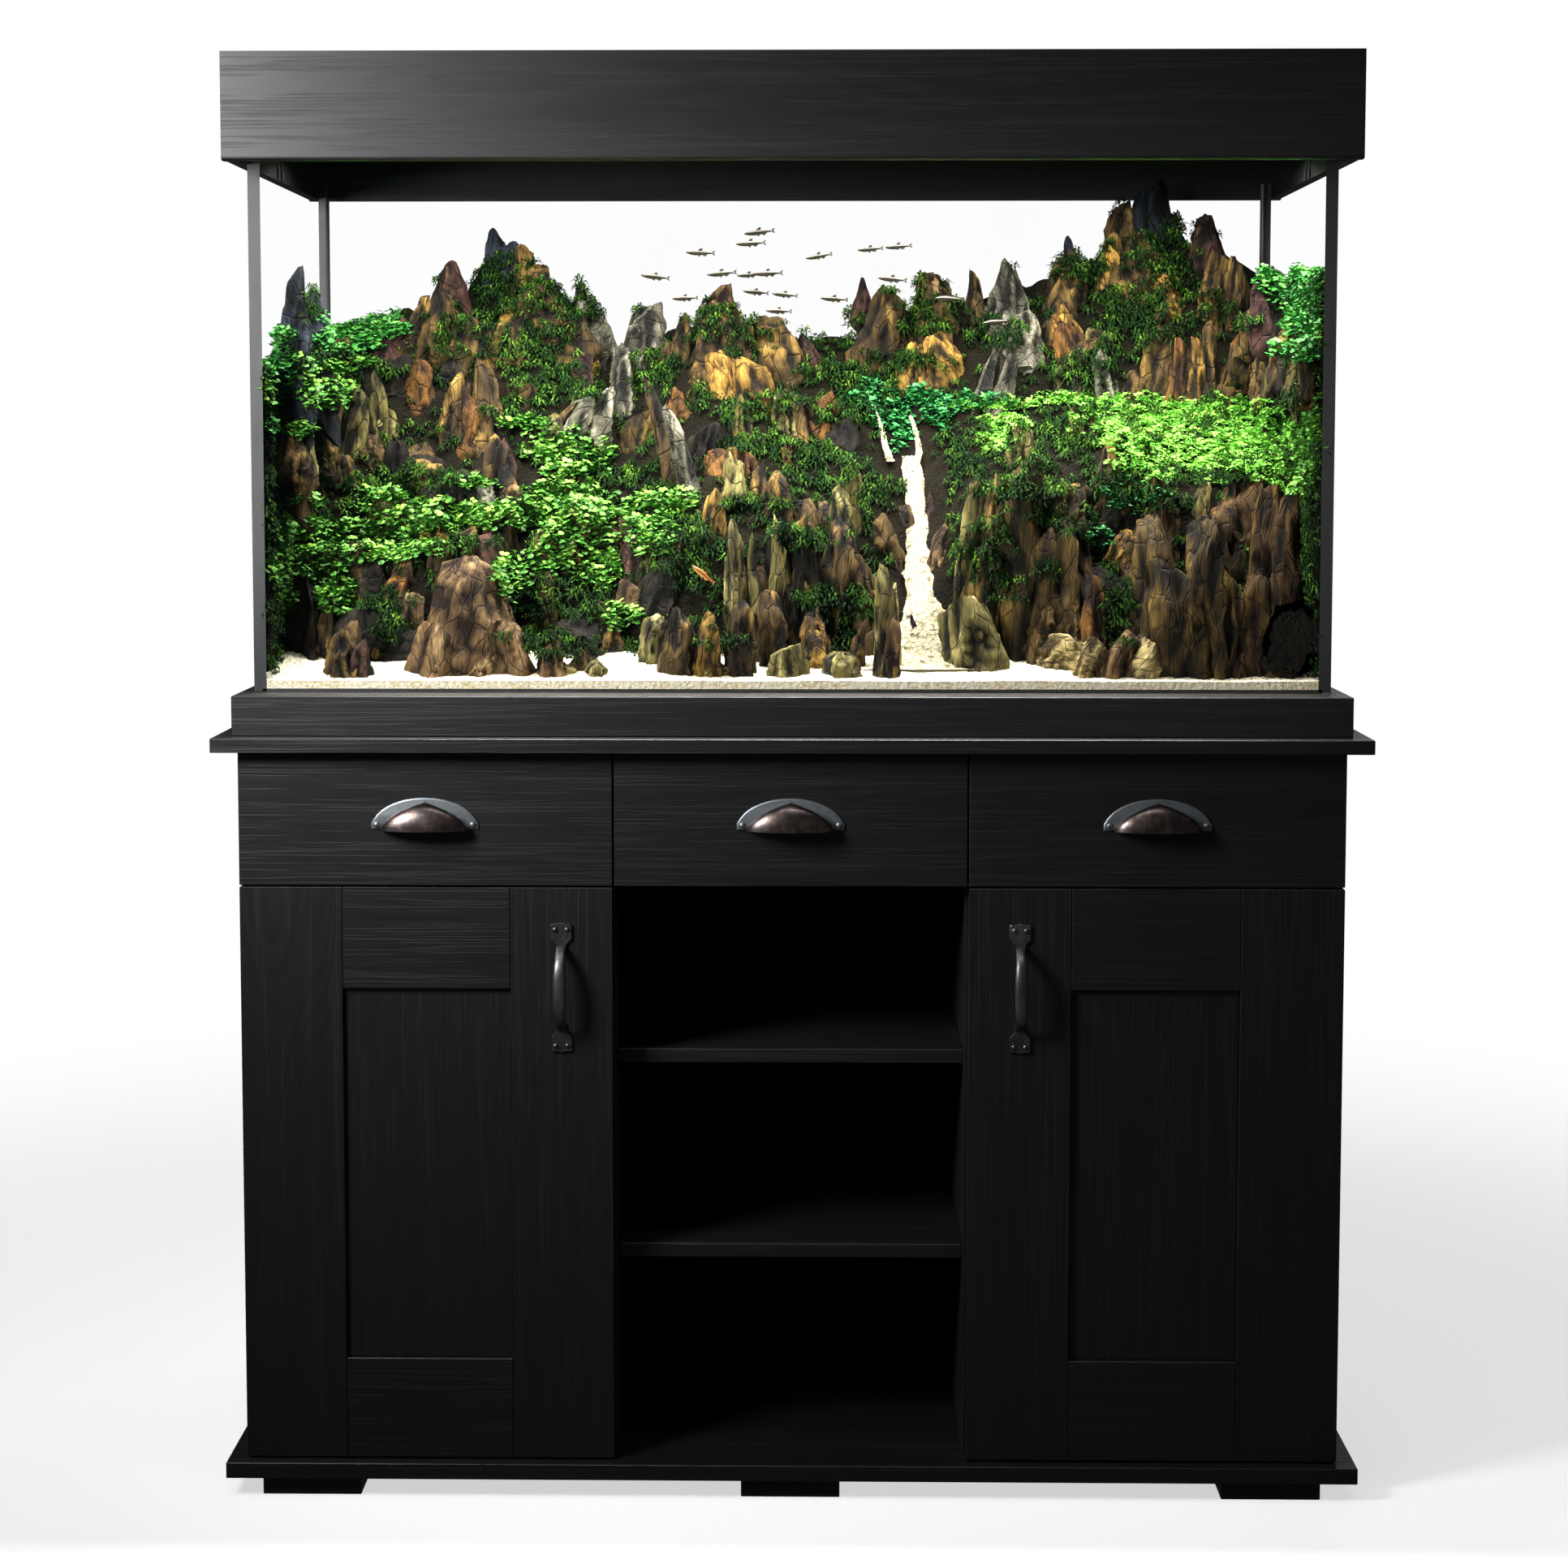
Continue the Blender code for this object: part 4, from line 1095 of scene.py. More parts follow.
RIGHT_PEAKS = (
    ("mauve", 165, 1338, 1394, 76, 0, 2),
    ("umber", 160, 1262, 1360, 140, 4, 0),
    ("ochre", 178, 1250, 1326, 84, -8, 12),
    ("umber", 148, 1248, 1304, 44, -6, 18),
    ("ochre", 130, 1250, 1312, 60, 12, 12),
    ("umber", 92, 1275, 1380, 74, 26, 8),
    ("plum", 82, 1345, 1388, 30, 2, 0),
    ("umber", 213, 1340, 1397, 28, -2, 4),
    ("umber", 222, 1318, 1370, 34, -8, 8),
    ("ash", 254, 1310, 1411, 78, 4, 10),
    ("ash", 278, 1290, 1350, 62, -8, 18),
    ("ash", 218, 1236, 1318, 38, 26, 22),
    ("ash", 238, 1234, 1300, 34, 22, 28),
    ("ochre", 324, 1305, 1362, 46, -4, 12),
    ("rust", 338, 1288, 1346, 56, -22, 16),
    ("slate", 324, 1385, 1435, 30, 0, 0),
    ("umber", 322, 1335, 1420, 84, 12, 4),
    ("umber", 385, 1395, 1479, 52, 2, 6),
    ("umber", 376, 1380, 1440, 50, -4, 10),
    ("slate", 424, 1418, 1502, 48, 4, 4),
    ("slate", 404, 1425, 1488, 34, 4, 8),
    ("slate", 446, 1425, 1466, 56, -8, 4),
    ("plum", 486, 1390, 1461, 66, -2, 6),
    ("umber", 410, 1330, 1442, 130, -6, 0),
    ("ochre", 372, 1372, 1424, 54, 4, 14),
    ("ochre", 432, 1350, 1392, 70, 8, 16),
    ("umber", 494, 1335, 1420, 54, 4, 14),
    ("umber", 524, 1330, 1414, 40, -6, 12),
    ("plum", 566, 1325, 1394, 56, -18, 6),
    ("umber", 545, 1300, 1352, 60, -8, 8),
    ("umber", 428, 1262, 1356, 50, 6, 14),
    ("rust", 456, 1248, 1318, 42, 4, 26),
    ("ochre", 476, 1248, 1318, 28, 0, 28),
    ("umber", 488, 1252, 1338, 30, 0, 22),
    ("rust", 530, 1258, 1334, 42, -4, 16),
    ("umber", 514, 1258, 1312, 36, 4, 18),
    ("olive", 562, 1250, 1332, 36, 4, 18),
    ("olive", 590, 1262, 1326, 34, 4, 14),
    ("umber", 604, 1262, 1312, 30, 2, 10),
    ("ash", 374, 1252, 1306, 40, -18, 22),
    ("umber", 400, 1250, 1280, 40, 4, 16),
    ("olive", 330, 1240, 1298, 50, -6, 18),
    ("umber", 512, 1242, 1264, 60, 0, 20),
)
RIGHT_CLIFFS = (
    ("olive", 222, 928, 1014, 92, -14, 34, 0.6),
    ("olive", 190, 960, 1000, 40, 0, 26),
    ("olive", 216, 1000, 1138, 56, 14, 18),
    ("umber", 236, 955, 1160, 50, 4, 14),
    ("olive", 206, 1040, 1150, 34, 10, 22),
    ("column", 272, 950, 1176, 81, -6, 14),
    ("olive", 268, 1158, 1230, 48, 0, 18),
    ("column", 318, 1046, 1146, 75, 4, 34),
    ("column", 306, 950, 1120, 78, 0, 10),
    ("umber", 346, 990, 1110, 44, -6, 18),
    ("olive", 344, 1196, 1244, 38, -6, 16),
    ("umber", 374, 1122, 1208, 64, 4, 20),
    ("umber", 400, 1168, 1208, 40, 14, 12),
    ("umber", 300, 952, 1008, 76, 4, 26),
    ("umber", 335, 955, 994, 60, 0, 24),
    ("rust", 356, 952, 1038, 36, 2, 34),
    ("cream", 322, 936, 970, 78, 12, 36, 0.55),
    ("cream", 352, 920, 966, 62, 18, 42, 0.55),
    ("mauve", 384, 910, 974, 58, 16, 44, 0.5),
    ("cream", 418, 918, 970, 40, 2, 38),
    ("umber", 392, 1040, 1098, 70, 6, 22),
    ("ochre", 384, 1062, 1092, 50, 10, 34),
    ("column", 430, 925, 1112, 75, 0, 18),
    ("column", 460, 915, 1060, 78, -2, 34),
    ("umber", 438, 1080, 1156, 48, -8, 24),
    ("column", 492, 914, 1108, 70, 2, 26),
    ("umber", 486, 1060, 1110, 44, 4, 36),
    ("column", 520, 914, 1050, 52, 2, 34),
    ("red", 534, 1060, 1166, 86, -6, 26),
    ("red", 552, 914, 1040, 73, 2, 34),
    ("red", 566, 1010, 1146, 60, 0, 34),
    ("red", 586, 916, 1150, 44, -4, 30),
    ("mauve", 562, 1130, 1184, 60, 4, 22),
    ("umber", 520, 1120, 1172, 34, 4, 22),
    ("shade", 380, 945, 1060, 140, 0, -10),
    ("umber", 500, 945, 1090, 76, 0, -6),
    ("umber", 574, 918, 1030, 40, -2, 20),
)

# Rubble that fills the slopes between the set stones, off the path and the lawn
RUBBLE_COUNT = 96
rubble = []
rng = random.Random(11)
while len(rubble) < RUBBLE_COUNT:
    x, z = rng.uniform(-585, 590), rng.uniform(935, 1330)
    on_lawn = x > 190 and 1135 < z < 1262
    on_path = abs(x - 152) < 42 and z < 1260 or abs(x - 120) < 40 and 1160 < z < 1260
    if on_lawn or on_path or z > seen_height(x, 170) - 25:
        continue
    # The "shade" stones are near-black fill that stands for painted shade between the rubble.
    kind = rng.choice(("umber", "umber", "column", "olive", "shade", "shade", "mauve", "rust"))
    tall = rng.uniform(26, 62)
    low, width, lean = z - 8, tall * rng.uniform(0.8, 1.4), rng.uniform(-12, 12)
    rubble.append((kind, x, low, low + tall, width, lean, 10))

# The bank of soil that the stones stand on
BANK_X = (-606, 612)
BANK_STRIPS, BANK_ROWS = 180, 63
BANK_REAR = 208
DRY_SOIL, DAMP_SOIL, REAR_SOIL = dye(30, 25, 14), dye(7, 6, 4), dye(18, 15, 9)
soil = bmesh.new()
stone_layer = soil.verts.layers.float_color.new("stone")
bank = []
for i in range(BANK_STRIPS + 1):
    x = BANK_X[0] + (BANK_X[1] - BANK_X[0]) * i / BANK_STRIPS
    line_up = []
    for j in range(BANK_ROWS + 1):
        y = GROUND_Y[0] + (GROUND_Y[-1] - GROUND_Y[0]) * (j / BANK_ROWS) ** 1.15
        lump = 12 * noise.noise(Vector((x / 24, y / 24, 1.0))) + 5 * noise.noise(Vector((x / 8, y / 8, 4.0)))
        vert = soil.verts.new(set_back(x, seen_height(x, y) + lump * min(1, j / 4), y))
        dry = 0.5 + 0.5 * noise.noise(Vector((x / 30, y / 18, 8.0)))
        vert[stone_layer] = (*(a + (b - a) * dry for a, b in zip(DAMP_SOIL, DRY_SOIL)), 1.0)
        line_up.append(vert)
    behind = set_back(x, tank_floor * 1000, BANK_REAR).y
    front, crest = line_up[0].co, line_up[-1].co
    rear = soil.verts.new((crest.x, behind, crest.z - 0.02))
    rear_foot = soil.verts.new((crest.x, behind, tank_floor + 0.03))
    foot = soil.verts.new((front.x, front.y, tank_floor + 0.012))
    for vert in (foot, rear, rear_foot):
        vert[stone_layer] = (*REAR_SOIL, 1.0)
    bank.append([foot, *line_up, rear, rear_foot])
close_columns(soil, bank)
soil_finish, soil_shader, line = new_finish("aquarium_soil", specular_ior_level=0.08)
tint = line.node("Attribute", {"attribute_name": "stone"})
crumbs = line.node("TexVoronoi", {}, {"Vector": line.spread(), "Scale": 300.0})
# Painted shade: the gaps between the crumbs are darkened to near black.
feed(
    soil_shader,
    base_color=(crumbs * 0.8).mix(tint, (0.002, 0.002, 0.001)),
    roughness=0.85 + crumbs * 0.15,
    normal=line.bump(1.0 - crumbs, 0.9, 0.002),
)
bank_piece = new_piece("soil_bank", soil, [soil_finish], "stand", 60)
stone_groups = {
    "rocks_left_peaks": LEFT_PEAKS,
    "rocks_left_foot": LEFT_FOOT,
    "rocks_middle": MIDDLE,
    "rocks_right_peaks": RIGHT_PEAKS,
    "rocks_right_cliffs": RIGHT_CLIFFS,
    "rubble_left": [rock for rock in rubble if rock[1] < 0],
    "rubble_right": [rock for rock in rubble if rock[1] >= 0],
}
piles = [pile(name, rocks) for name, rocks in stone_groups.items()]
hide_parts("rock_mound")

# Dark fibre mats stand against the side panes, and plants grow through them up to the front corners
MATS = ((-1, 1300, 1270), (1, 1392, 1378))  # side, height of the top at the rear and the front
MAT_FRONT, MAT_DEPTH, MAT_FOOT = -192, 182, 934
mat_form = bmesh.new()
mat_tint = mat_form.verts.layers.float_color.new("stone")
for mirror, crest, fore in MATS:
    columns = []
    for i in range(27):
        y = MAT_FRONT + MAT_DEPTH * i / 26
        column = []
        for j in range(40):
            top = fore + (crest - fore) * i / 26 + 14 * noise.noise(Vector((y / 16, crest, 1.0)))
            z = MAT_FOOT + (top - MAT_FOOT) * j / 39
            lump = 5 + 3.5 * noise.noise(Vector((y / 11, z / 13, mirror * 3.0))) * min(1, (39 - j) / 3)
            vert = mat_form.verts.new((mirror * (side_reach - lump) / 1000, y / 1000, z / 1000))
            column.append(vert)
        back = [mat_form.verts.new((mirror * (side_reach - 1.5) / 1000, v.co.y, v.co.z)) for v in column]
        columns.append(column + back[::-1])
    close_columns(mat_form, columns)
for vert in mat_form.verts:
    vert[mat_tint] = (*dye(16, 22, 10), 1.0)
mats = new_piece("side_mats", mat_form, [soil_finish], "stand", 60)

# ---- Moss and leaves ---------------------------------------------------------------------------
# Live plants tied or rooted on the stones: feathery dark moss draped over the rocks, a creeping
# plant with round leaves on the left-hand banks, a finer carpet on the right-hand slope.

# Seen x and z of the middle, half width and half height of each growth (mm)
MOSS = (
    (-556, 1374, 14, 14), (-574, 1348, 16, 14),
    (-345, 1392, 44, 24), (-326, 1366, 60, 30), (-268, 1372, 34, 18), (-252, 1350, 34, 20),
    (-299, 1412, 10, 12), (-424, 1388, 12, 14), (-384, 1312, 58, 24), (-402, 1338, 26, 12),
    (-300, 1300, 52, 38), (-286, 1262, 46, 30), (-188, 1350, 22, 8), (-160, 1276, 36, 34),
    (-252, 1252, 34, 16), (-190, 1150, 56, 18), (-228, 1162, 32, 12), (-462, 1346, 16, 12),
    (-470, 1276, 34, 9), (-434, 1206, 46, 10), (-446, 1150, 66, 16), (-506, 1142, 46, 10),
    (-480, 972, 24, 26), (-482, 1004, 34, 18), (-392, 1072, 40, 14), (-304, 1012, 44, 24),
    (-286, 955, 60, 22), (-246, 1004, 34, 38), (-85, 1332, 52, 26), (-48, 1312, 44, 20),
    (-122, 1360, 22, 10), (-32, 1352, 22, 10), (10, 1342, 28, 16), (42, 1318, 34, 18),
    (62, 1340, 26, 14), (-60, 1226, 44, 12), (-40, 1190, 56, 13), (20, 1176, 56, 22),
    (-102, 1248, 18, 14), (-38, 1118, 54, 11), (-122, 1062, 48, 40), (-132, 1092, 42, 16),
    (-86, 958, 38, 17), (44, 1156, 56, 22), (100, 1136, 32, 18), (20, 1082, 44, 22),
    (44, 1010, 56, 14), (66, 992, 44, 16), (62, 1232, 44, 24), (92, 1256, 48, 28),
    (40, 1272, 44, 18), (100, 1284, 34, 20), (165, 1352, 52, 28), (138, 1372, 28, 16),
    (150, 1330, 40, 14), (240, 1322, 38, 24), (276, 1400, 22, 7), (332, 1402, 38, 20),
    (356, 1424, 22, 12), (430, 1402, 46, 38), (442, 1442, 30, 14), (380, 1472, 12, 12),
    (506, 1442, 12, 12), (400, 1334, 48, 48), (342, 1384, 24, 14), (460, 1362, 44, 18),
    (500, 1350, 28, 12), (542, 1330, 28, 12), (362, 1292, 42, 14), (336, 1272, 44, 20),
    (560, 1402, 20, 10), (300, 1186, 64, 30), (332, 1222, 48, 20), (205, 1190, 46, 28),
    (216, 1152, 34, 24), (284, 1132, 54, 34), (385, 1142, 62, 20), (330, 1098, 34, 16),
    (432, 1124, 46, 16), (482, 1150, 60, 11), (560, 1174, 52, 9), (232, 1064, 36, 44),
    (385, 1000, 30, 30), (386, 958, 22, 9), (248, 1020, 30, 20), (300, 1040, 26, 14),
    (-560, 1300, 40, 10), (-580, 1268, 20, 16), (-340, 1232, 26, 12), (-20, 1240, 60, 10),
    (150, 1288, 40, 10), (596, 1236, 22, 20), (586, 1300, 20, 24),
)
CLOVER = (
    (-556, 1086, 66, 14), (-470, 1090, 86, 12), (-404, 1108, 110, 13), (-330, 1102, 66, 18),
    (-272, 1124, 62, 22), (-262, 1174, 52, 34), (-252, 1082, 52, 32), (-232, 1042, 32, 28),
    (-556, 1046, 40, 26), (-540, 1012, 22, 28), (-470, 1062, 62, 13), (-150, 1122, 44, 14),
    (-166, 1082, 30, 28), (-200, 984, 26, 14), (-334, 1032, 22, 28), (-282, 1052, 34, 18),
    (-540, 1282, 52, 11), (-550, 1248, 36, 20), (-582, 1206, 20, 9), (-384, 1142, 30, 8),
    (-318, 1212, 34, 10), (-486, 1128, 40, 9), (-572, 1122, 26, 8), (-228, 1110, 36, 14),
)
FAR_LEAVES = (
    (-508, 1336, 52, 14), (-524, 1312, 48, 20), (-470, 1322, 24, 12), (580, 1382, 40, 34),
    (598, 1340, 26, 34), (600, 1300, 20, 20), (574, 1300, 16, 10), (-604, 1290, 24, 40),
    (-612, 1210, 14, 16), (616, 1372, 30, 40), (616, 1312, 24, 30),
)
SIDE_CLOVER = (
    (-604, 1084, 26, 18), (-606, 1040, 22, 24), (-600, 1008, 16, 20), (-610, 1250, 18, 20),
    (618, 1196, 20, 36), (606, 1160, 20, 26),
)
EMERALD = (
    (112, 1226, 32, 24), (92, 1246, 32, 18), (150, 1246, 22, 12), (172, 1226, 20, 24),
    (210, 1240, 60, 10), (128, 1202, 14, 22), (400, 1130, 40, 16), (360, 1078, 20, 12),
)
LAWN = (
    (480, 1208, 150, 40), (570, 1188, 60, 46), (400, 1226, 76, 24), (236, 1238, 62, 8),
    (330, 1244, 62, 8), (430, 1170, 60, 24), (505, 1160, 60, 18), (590, 1150, 30, 20),
    (240, 1196, 24, 16), (250, 1216, 34, 10),
)


def growth_bed(patches, edge=0.35, cover=0.0):
    """The triangles of stone and soil within the patches that look up or out, with weights.
    Cover is how thickly the same plant also grows on open soil."""
    kept, weights = [], []
    for triangles, normals, x, z in rock_faces:
        near = np.zeros(len(x))
        ragged = edge * np.sin(x / 7.1 + z / 11.3) * np.sin(z / 5.3 - x / 13.7)
        for middle_x, middle_z, half_x, half_z in patches:
            far = ((x - middle_x) / half_x) ** 2 + ((z - middle_z) / half_z) ** 2
            near = np.maximum(near, np.clip(1.6 * (1.05 - far) + ragged, 0, 1))
        near *= np.clip((normals[:, 2] + 0.45) / 0.5, 0, 1) * (normals[:, 1] < 0.55)
        if triangles is side_faces:
            near = np.maximum(near, cover)
        elif triangles is bank_faces:
            patchy = np.sin(x / 19.0 + 2.0 * np.sin(z / 23.0)) * np.sin(z / 17.0 + x / 41.0)
            off_path = (np.abs(x - 150) > 34) | (z > 1250)
            near = np.maximum(near, cover * (0.45 + 0.55 * patchy) * off_path * (z < 1370))
        held = near > 0.03
        kept.append(triangles[held])
        weights.append(near[held])
    return np.concatenate(kept), np.concatenate(weights)


rock_faces = []
bank_faces, side_faces = triangles_of(bank_piece), triangles_of(mats)
for triangles in (bank_faces, side_faces, *(triangles_of(piece) for piece in piles)):
    middles = triangles.mean(axis=1) * 1000
    share = (middles[:, 1] - EYE.y) / (READ_DEPTH - EYE.y)
    seen_x = EYE.x + (middles[:, 0] - EYE.x) / share
    seen_z = EYE.z + (middles[:, 2] - EYE.z) / share
    rock_faces.append((triangles, facing(triangles), seen_x, seen_z))


def frond_lobe(name, fronds, reach, width, seed):
    """A lobe of moss: fronds that arch out from its middle and hang at their tips, in tiers."""
    rng = random.Random(seed)
    corners, faces, tip_light_and_shade = [], [], []
    for count in range(fronds):
        swing = 2.4 * count + rng.uniform(-0.3, 0.3)
        tier = (count + 0.5) / fronds
        out = Vector((math.cos(swing), math.sin(swing), 0))
        side = Vector((-out.y, out.x, 0)) * width
        top = reach * (0.75 - 0.55 * tier) * rng.uniform(0.85, 1.2)
        far = reach * (0.45 + 0.65 * tier) * rng.uniform(0.8, 1.15)
        root = out * far * 0.12 + Vector((0, 0, top * 0.55))
        knee = out * far * 0.60 + Vector((0, 0, top))
        tip = out * far + Vector((0, 0, top - reach * rng.uniform(0.15, 0.5)))
        first = len(corners)
        corners += [root, knee - side, knee + side, tip]
        faces += [(first, first + 1, first + 2), (first + 1, first + 3, first + 2)]
        # Partly the moss's own paler tips, partly painted light and shade: each frond is darkest at its root
        # and lightest at its tip, and the lower, outer tiers are painted darker.
        lit_tip = 1.0 - 0.75 * tier
        tip_light_and_shade += [0.05, lit_tip * 0.8, lit_tip * 0.8, lit_tip]
    return loose_copy(name, corners, faces, tip_light_and_shade)


def leaf_tuft(name, leaves, radius, spread, height, seed):
    """A cluster of small round leaves held level at different heights."""
    rng = random.Random(seed)
    corners, faces, tip_light_and_shade = [], [], []
    for count in range(leaves):
        swing = 2.4 * count + rng.uniform(-0.4, 0.4)
        reach = spread * math.sqrt((count + 0.5) / leaves)
        up = height * (1.05 - 0.6 * (count + 0.5) / leaves) * rng.uniform(0.8, 1.15)
        middle = Vector((math.cos(swing) * reach, math.sin(swing) * reach, up))
        tilt = Matrix.Rotation(rng.uniform(-0.6, 0.6), 3, "X")
        tilt = tilt @ Matrix.Rotation(rng.uniform(-0.6, 0.6), 3, "Y")
        size = radius * rng.uniform(0.75, 1.15)
        first = len(corners)
        for step in range(5):
            turn = 2 * math.pi * step / 5 + swing
            cup = -0.22 if step % 2 else 0.0
            corners.append(middle + tilt @ (Vector((math.cos(turn), math.sin(turn), cup)) * size))
            # Painted light and shade: each leaf is lighter the higher it sits in the tuft, and darker at its
            # middle.
            tip_light_and_shade.append(up / height * (1.0 if step else 0.55))
        faces += [(first, first + k, first + k + 1) for k in (1, 2, 3)]
    return loose_copy(name, corners, faces, tip_light_and_shade)


def leaf_finish(name, deep, mid, lit_tip, gloss=0.42, specular=0.3):
    """Leaf green from painted shade at the root and low in the tuft to painted light at the top, partly the
    leaf's own paler tips; each tuft a little different.
    """
    finish, shader, line = new_finish(name, specular_ior_level=specular)
    # The "tip" attribute carries the painted light and shade of each tuft, partly the leaf's own paler tips.
    tip = line.node("Attribute", {"attribute_name": "tip"}, out=2)
    chance = line.node("Attribute", {"attribute_name": "chance"}, out=2)
    drift = line.speckle(line.spread(), 42.0, 3.0)
    veins = line.speckle(line.spread(), 1100.0, 2.0)
    share = tip * 0.62 + chance * 0.30 + drift.step(0.30, 0.70) * 0.34 - 0.24
    stops = [(0.0, deep), (0.5, mid), (1.0, lit_tip)]
    feed(
        shader,
        base_color=line.node("ValToRGB", {"stops": stops}, {0: share}),
        roughness=gloss + veins * 0.25,
        normal=line.bump(veins, 0.3, 0.0003),
    )
    return finish


moss_green = leaf_finish("dark_moss", dye(3, 10, 2), dye(20, 48, 9), dye(98, 138, 40), 0.6, 0.08)
clover_green = leaf_finish("creeping_leaf", dye(9, 30, 5), dye(62, 124, 32), dye(156, 208, 84))
far_green = leaf_finish("far_leaf", dye(12, 52, 16), dye(52, 134, 50), dye(132, 206, 96))
emerald_green = leaf_finish("emerald_leaf", dye(4, 36, 16), dye(24, 104, 46), dye(84, 176, 92))
lawn_green = leaf_finish("carpet_leaf", dye(72, 144, 34), dye(108, 178, 58), dye(136, 196, 78))

moss_lobe = frond_lobe("moss_lobe", 16, 0.0110, 0.0012, 5)
round_leaves = leaf_tuft("round_leaf", 9, 0.0034, 0.0088, 0.0090, 8)
small_leaves = leaf_tuft("small_leaf", 10, 0.0023, 0.0066, 0.0052, 9)

for name, patches, ends, copy, green, per_m2, sizes in (
    ("moss", MOSS, (-1, -0.32, 0, 0.32, 1), moss_lobe, moss_green, 11500, (0.6, 1.45)),
    ("carpet_plant", LAWN, (-1, 0.42, 1), small_leaves, lawn_green, 48000, (0.65, 1.05)),
):
    triangles, weights = growth_bed(patches, 0.5, 0.55) if name == "moss" else growth_bed(patches)
    across = triangles.mean(axis=1)[:, 0]
    for count, (start, end) in enumerate(zip(ends, ends[1:])):
        held = (across >= start) & (across < end)
        ground = ground_mesh(f"{name}_ground_{count}", triangles[held], weights[held])
        strew(f"{name}_{count}", ground, copy, green, per_m2, 21, sizes, 0.4, 0.25)
for name, patches, copy, green, per_m2, sizes in (
    ("creeping_plant", CLOVER + SIDE_CLOVER, round_leaves, clover_green, 25000, (0.75, 1.25)),
    ("far_leaves", FAR_LEAVES, round_leaves, far_green, 30000, (0.7, 1.2)),
    ("valley_leaves", EMERALD, round_leaves, emerald_green, 26000, (0.6, 1.0)),
):
    ground = ground_mesh(f"{name}_ground", *growth_bed(patches))
    strew(name, ground, copy, green, per_m2, 33, sizes, 0.35, 0.15)
for copy in (moss_lobe, round_leaves, small_leaves):
    bpy.data.objects.remove(copy)

# ---- Fish --------------------------------------------------------------------------------------
# A school of slim shoaling fish, some 37 mm long, olive along the back with a dark stripe under a
# gold line, and one small orange fish lower down. All face left, as they swim together.

FISH_RINGS = 15
FISH_SIDES = 12
# Along the body from the nose, half depth and half thickness, in shares of the length
FISH_PROFILE = (
    (0.00, 0.006, 0.006), (0.05, 0.036, 0.026), (0.14, 0.066, 0.042), (0.28, 0.088, 0.050),
    (0.42, 0.090, 0.048), (0.56, 0.076, 0.038), (0.68, 0.054, 0.026), (0.80, 0.032, 0.014),
    (0.86, 0.030, 0.010),
)
# Fins: corners in the upright plane, in shares of the length
FINS = (
    ((0.84, 0.020), (0.985, 0.088), (0.945, 0.010), (0.93, 0.0)),
    ((0.84, -0.020), (0.93, 0.0), (0.945, -0.010), (0.985, -0.088)),
    ((0.40, 0.080), (0.50, 0.150), (0.57, 0.128), (0.52, 0.074)),
    ((0.56, -0.066), (0.61, -0.120), (0.70, -0.094), (0.70, -0.044)),
    ((0.40, -0.082), (0.44, -0.128), (0.50, -0.118), (0.47, -0.078)),
)
SCHOOL = (  # seen x and z, depth, length, nose up in degrees
    (-38, 1440, -20, 38, -6), (-48, 1427, -45, 37, -3), (-107, 1416, -10, 36, 2),
    (-160, 1388, 5, 36, 7), (-82, 1392, -35, 37, -5), (-50, 1390, -5, 30, -3),
    (-28, 1392, -30, 37, -2), (-42, 1370, -15, 32, 5), (-8, 1367, -40, 32, 6),
    (-125, 1363, -25, 32, -2), (-15, 1348, -35, 32, 2), (32, 1412, -25, 33, -10),
    (92, 1420, -20, 32, -4), (125, 1423, -40, 33, -4), (118, 1385, -30, 36, 6),
    (50, 1362, -20, 34, 4), (185, 1362, -45, 36, 2), (240, 1335, -55, 34, -6),
)


def add_fish(form, x, z, depth, long, nose_up):
    """One fish, its nose to the left, with its own place on its body kept for its markings."""
    marks = form.verts.layers.float_vector["fish_place"]
    middle = set_back(x, z, depth)
    turn = Matrix.Rotation(math.radians(nose_up), 3, "Y") @ Matrix.Rotation(0.10 * math.sin(x), 3, "Z")
    long = long / 1000

    def corner(along, up, aside):
        vert = form.verts.new(middle + turn @ (Vector((along - 0.5, aside, up)) * long))
        vert[marks] = (along, up, aside)
        return vert

    stations = [p[0] for p in FISH_PROFILE]
    rings = []
    for i in range(FISH_RINGS):
        along = stations[-1] * (i / (FISH_RINGS - 1)) ** 1.15
        deep, thick = (float(np.interp(along, stations, [p[k] for p in FISH_PROFILE])) for k in (1, 2))
        bend = 0.012 * math.sin(4.2 * along + x)
        turns = [2 * math.pi * j / FISH_SIDES for j in range(FISH_SIDES)]
        rings.append([corner(along, deep * math.cos(t), bend + thick * math.sin(t)) for t in turns])
    close_columns(form, rings)
    for fin in FINS:
        sides = [[corner(along, up, aside) for along, up in fin] for aside in (-0.006, 0.006)]
        count = len(fin)
        form.faces.new(sides[0])
        form.faces.new(sides[1][::-1])
        for j in range(count):
            k = (j + 1) % count
            form.faces.new((sides[0][k], sides[0][j], sides[1][j], sides[1][k]))
    for aside in (-0.033, 0.033):  # eyes
        eye = bmesh.ops.create_icosphere(form, subdivisions=1, radius=0.017 * long)
        for vert in eye["verts"]:
            vert.co = middle + turn @ (Vector((0.055 - 0.5, aside, 0.012)) * long) + vert.co
            vert[marks] = (-1, 0, 0)


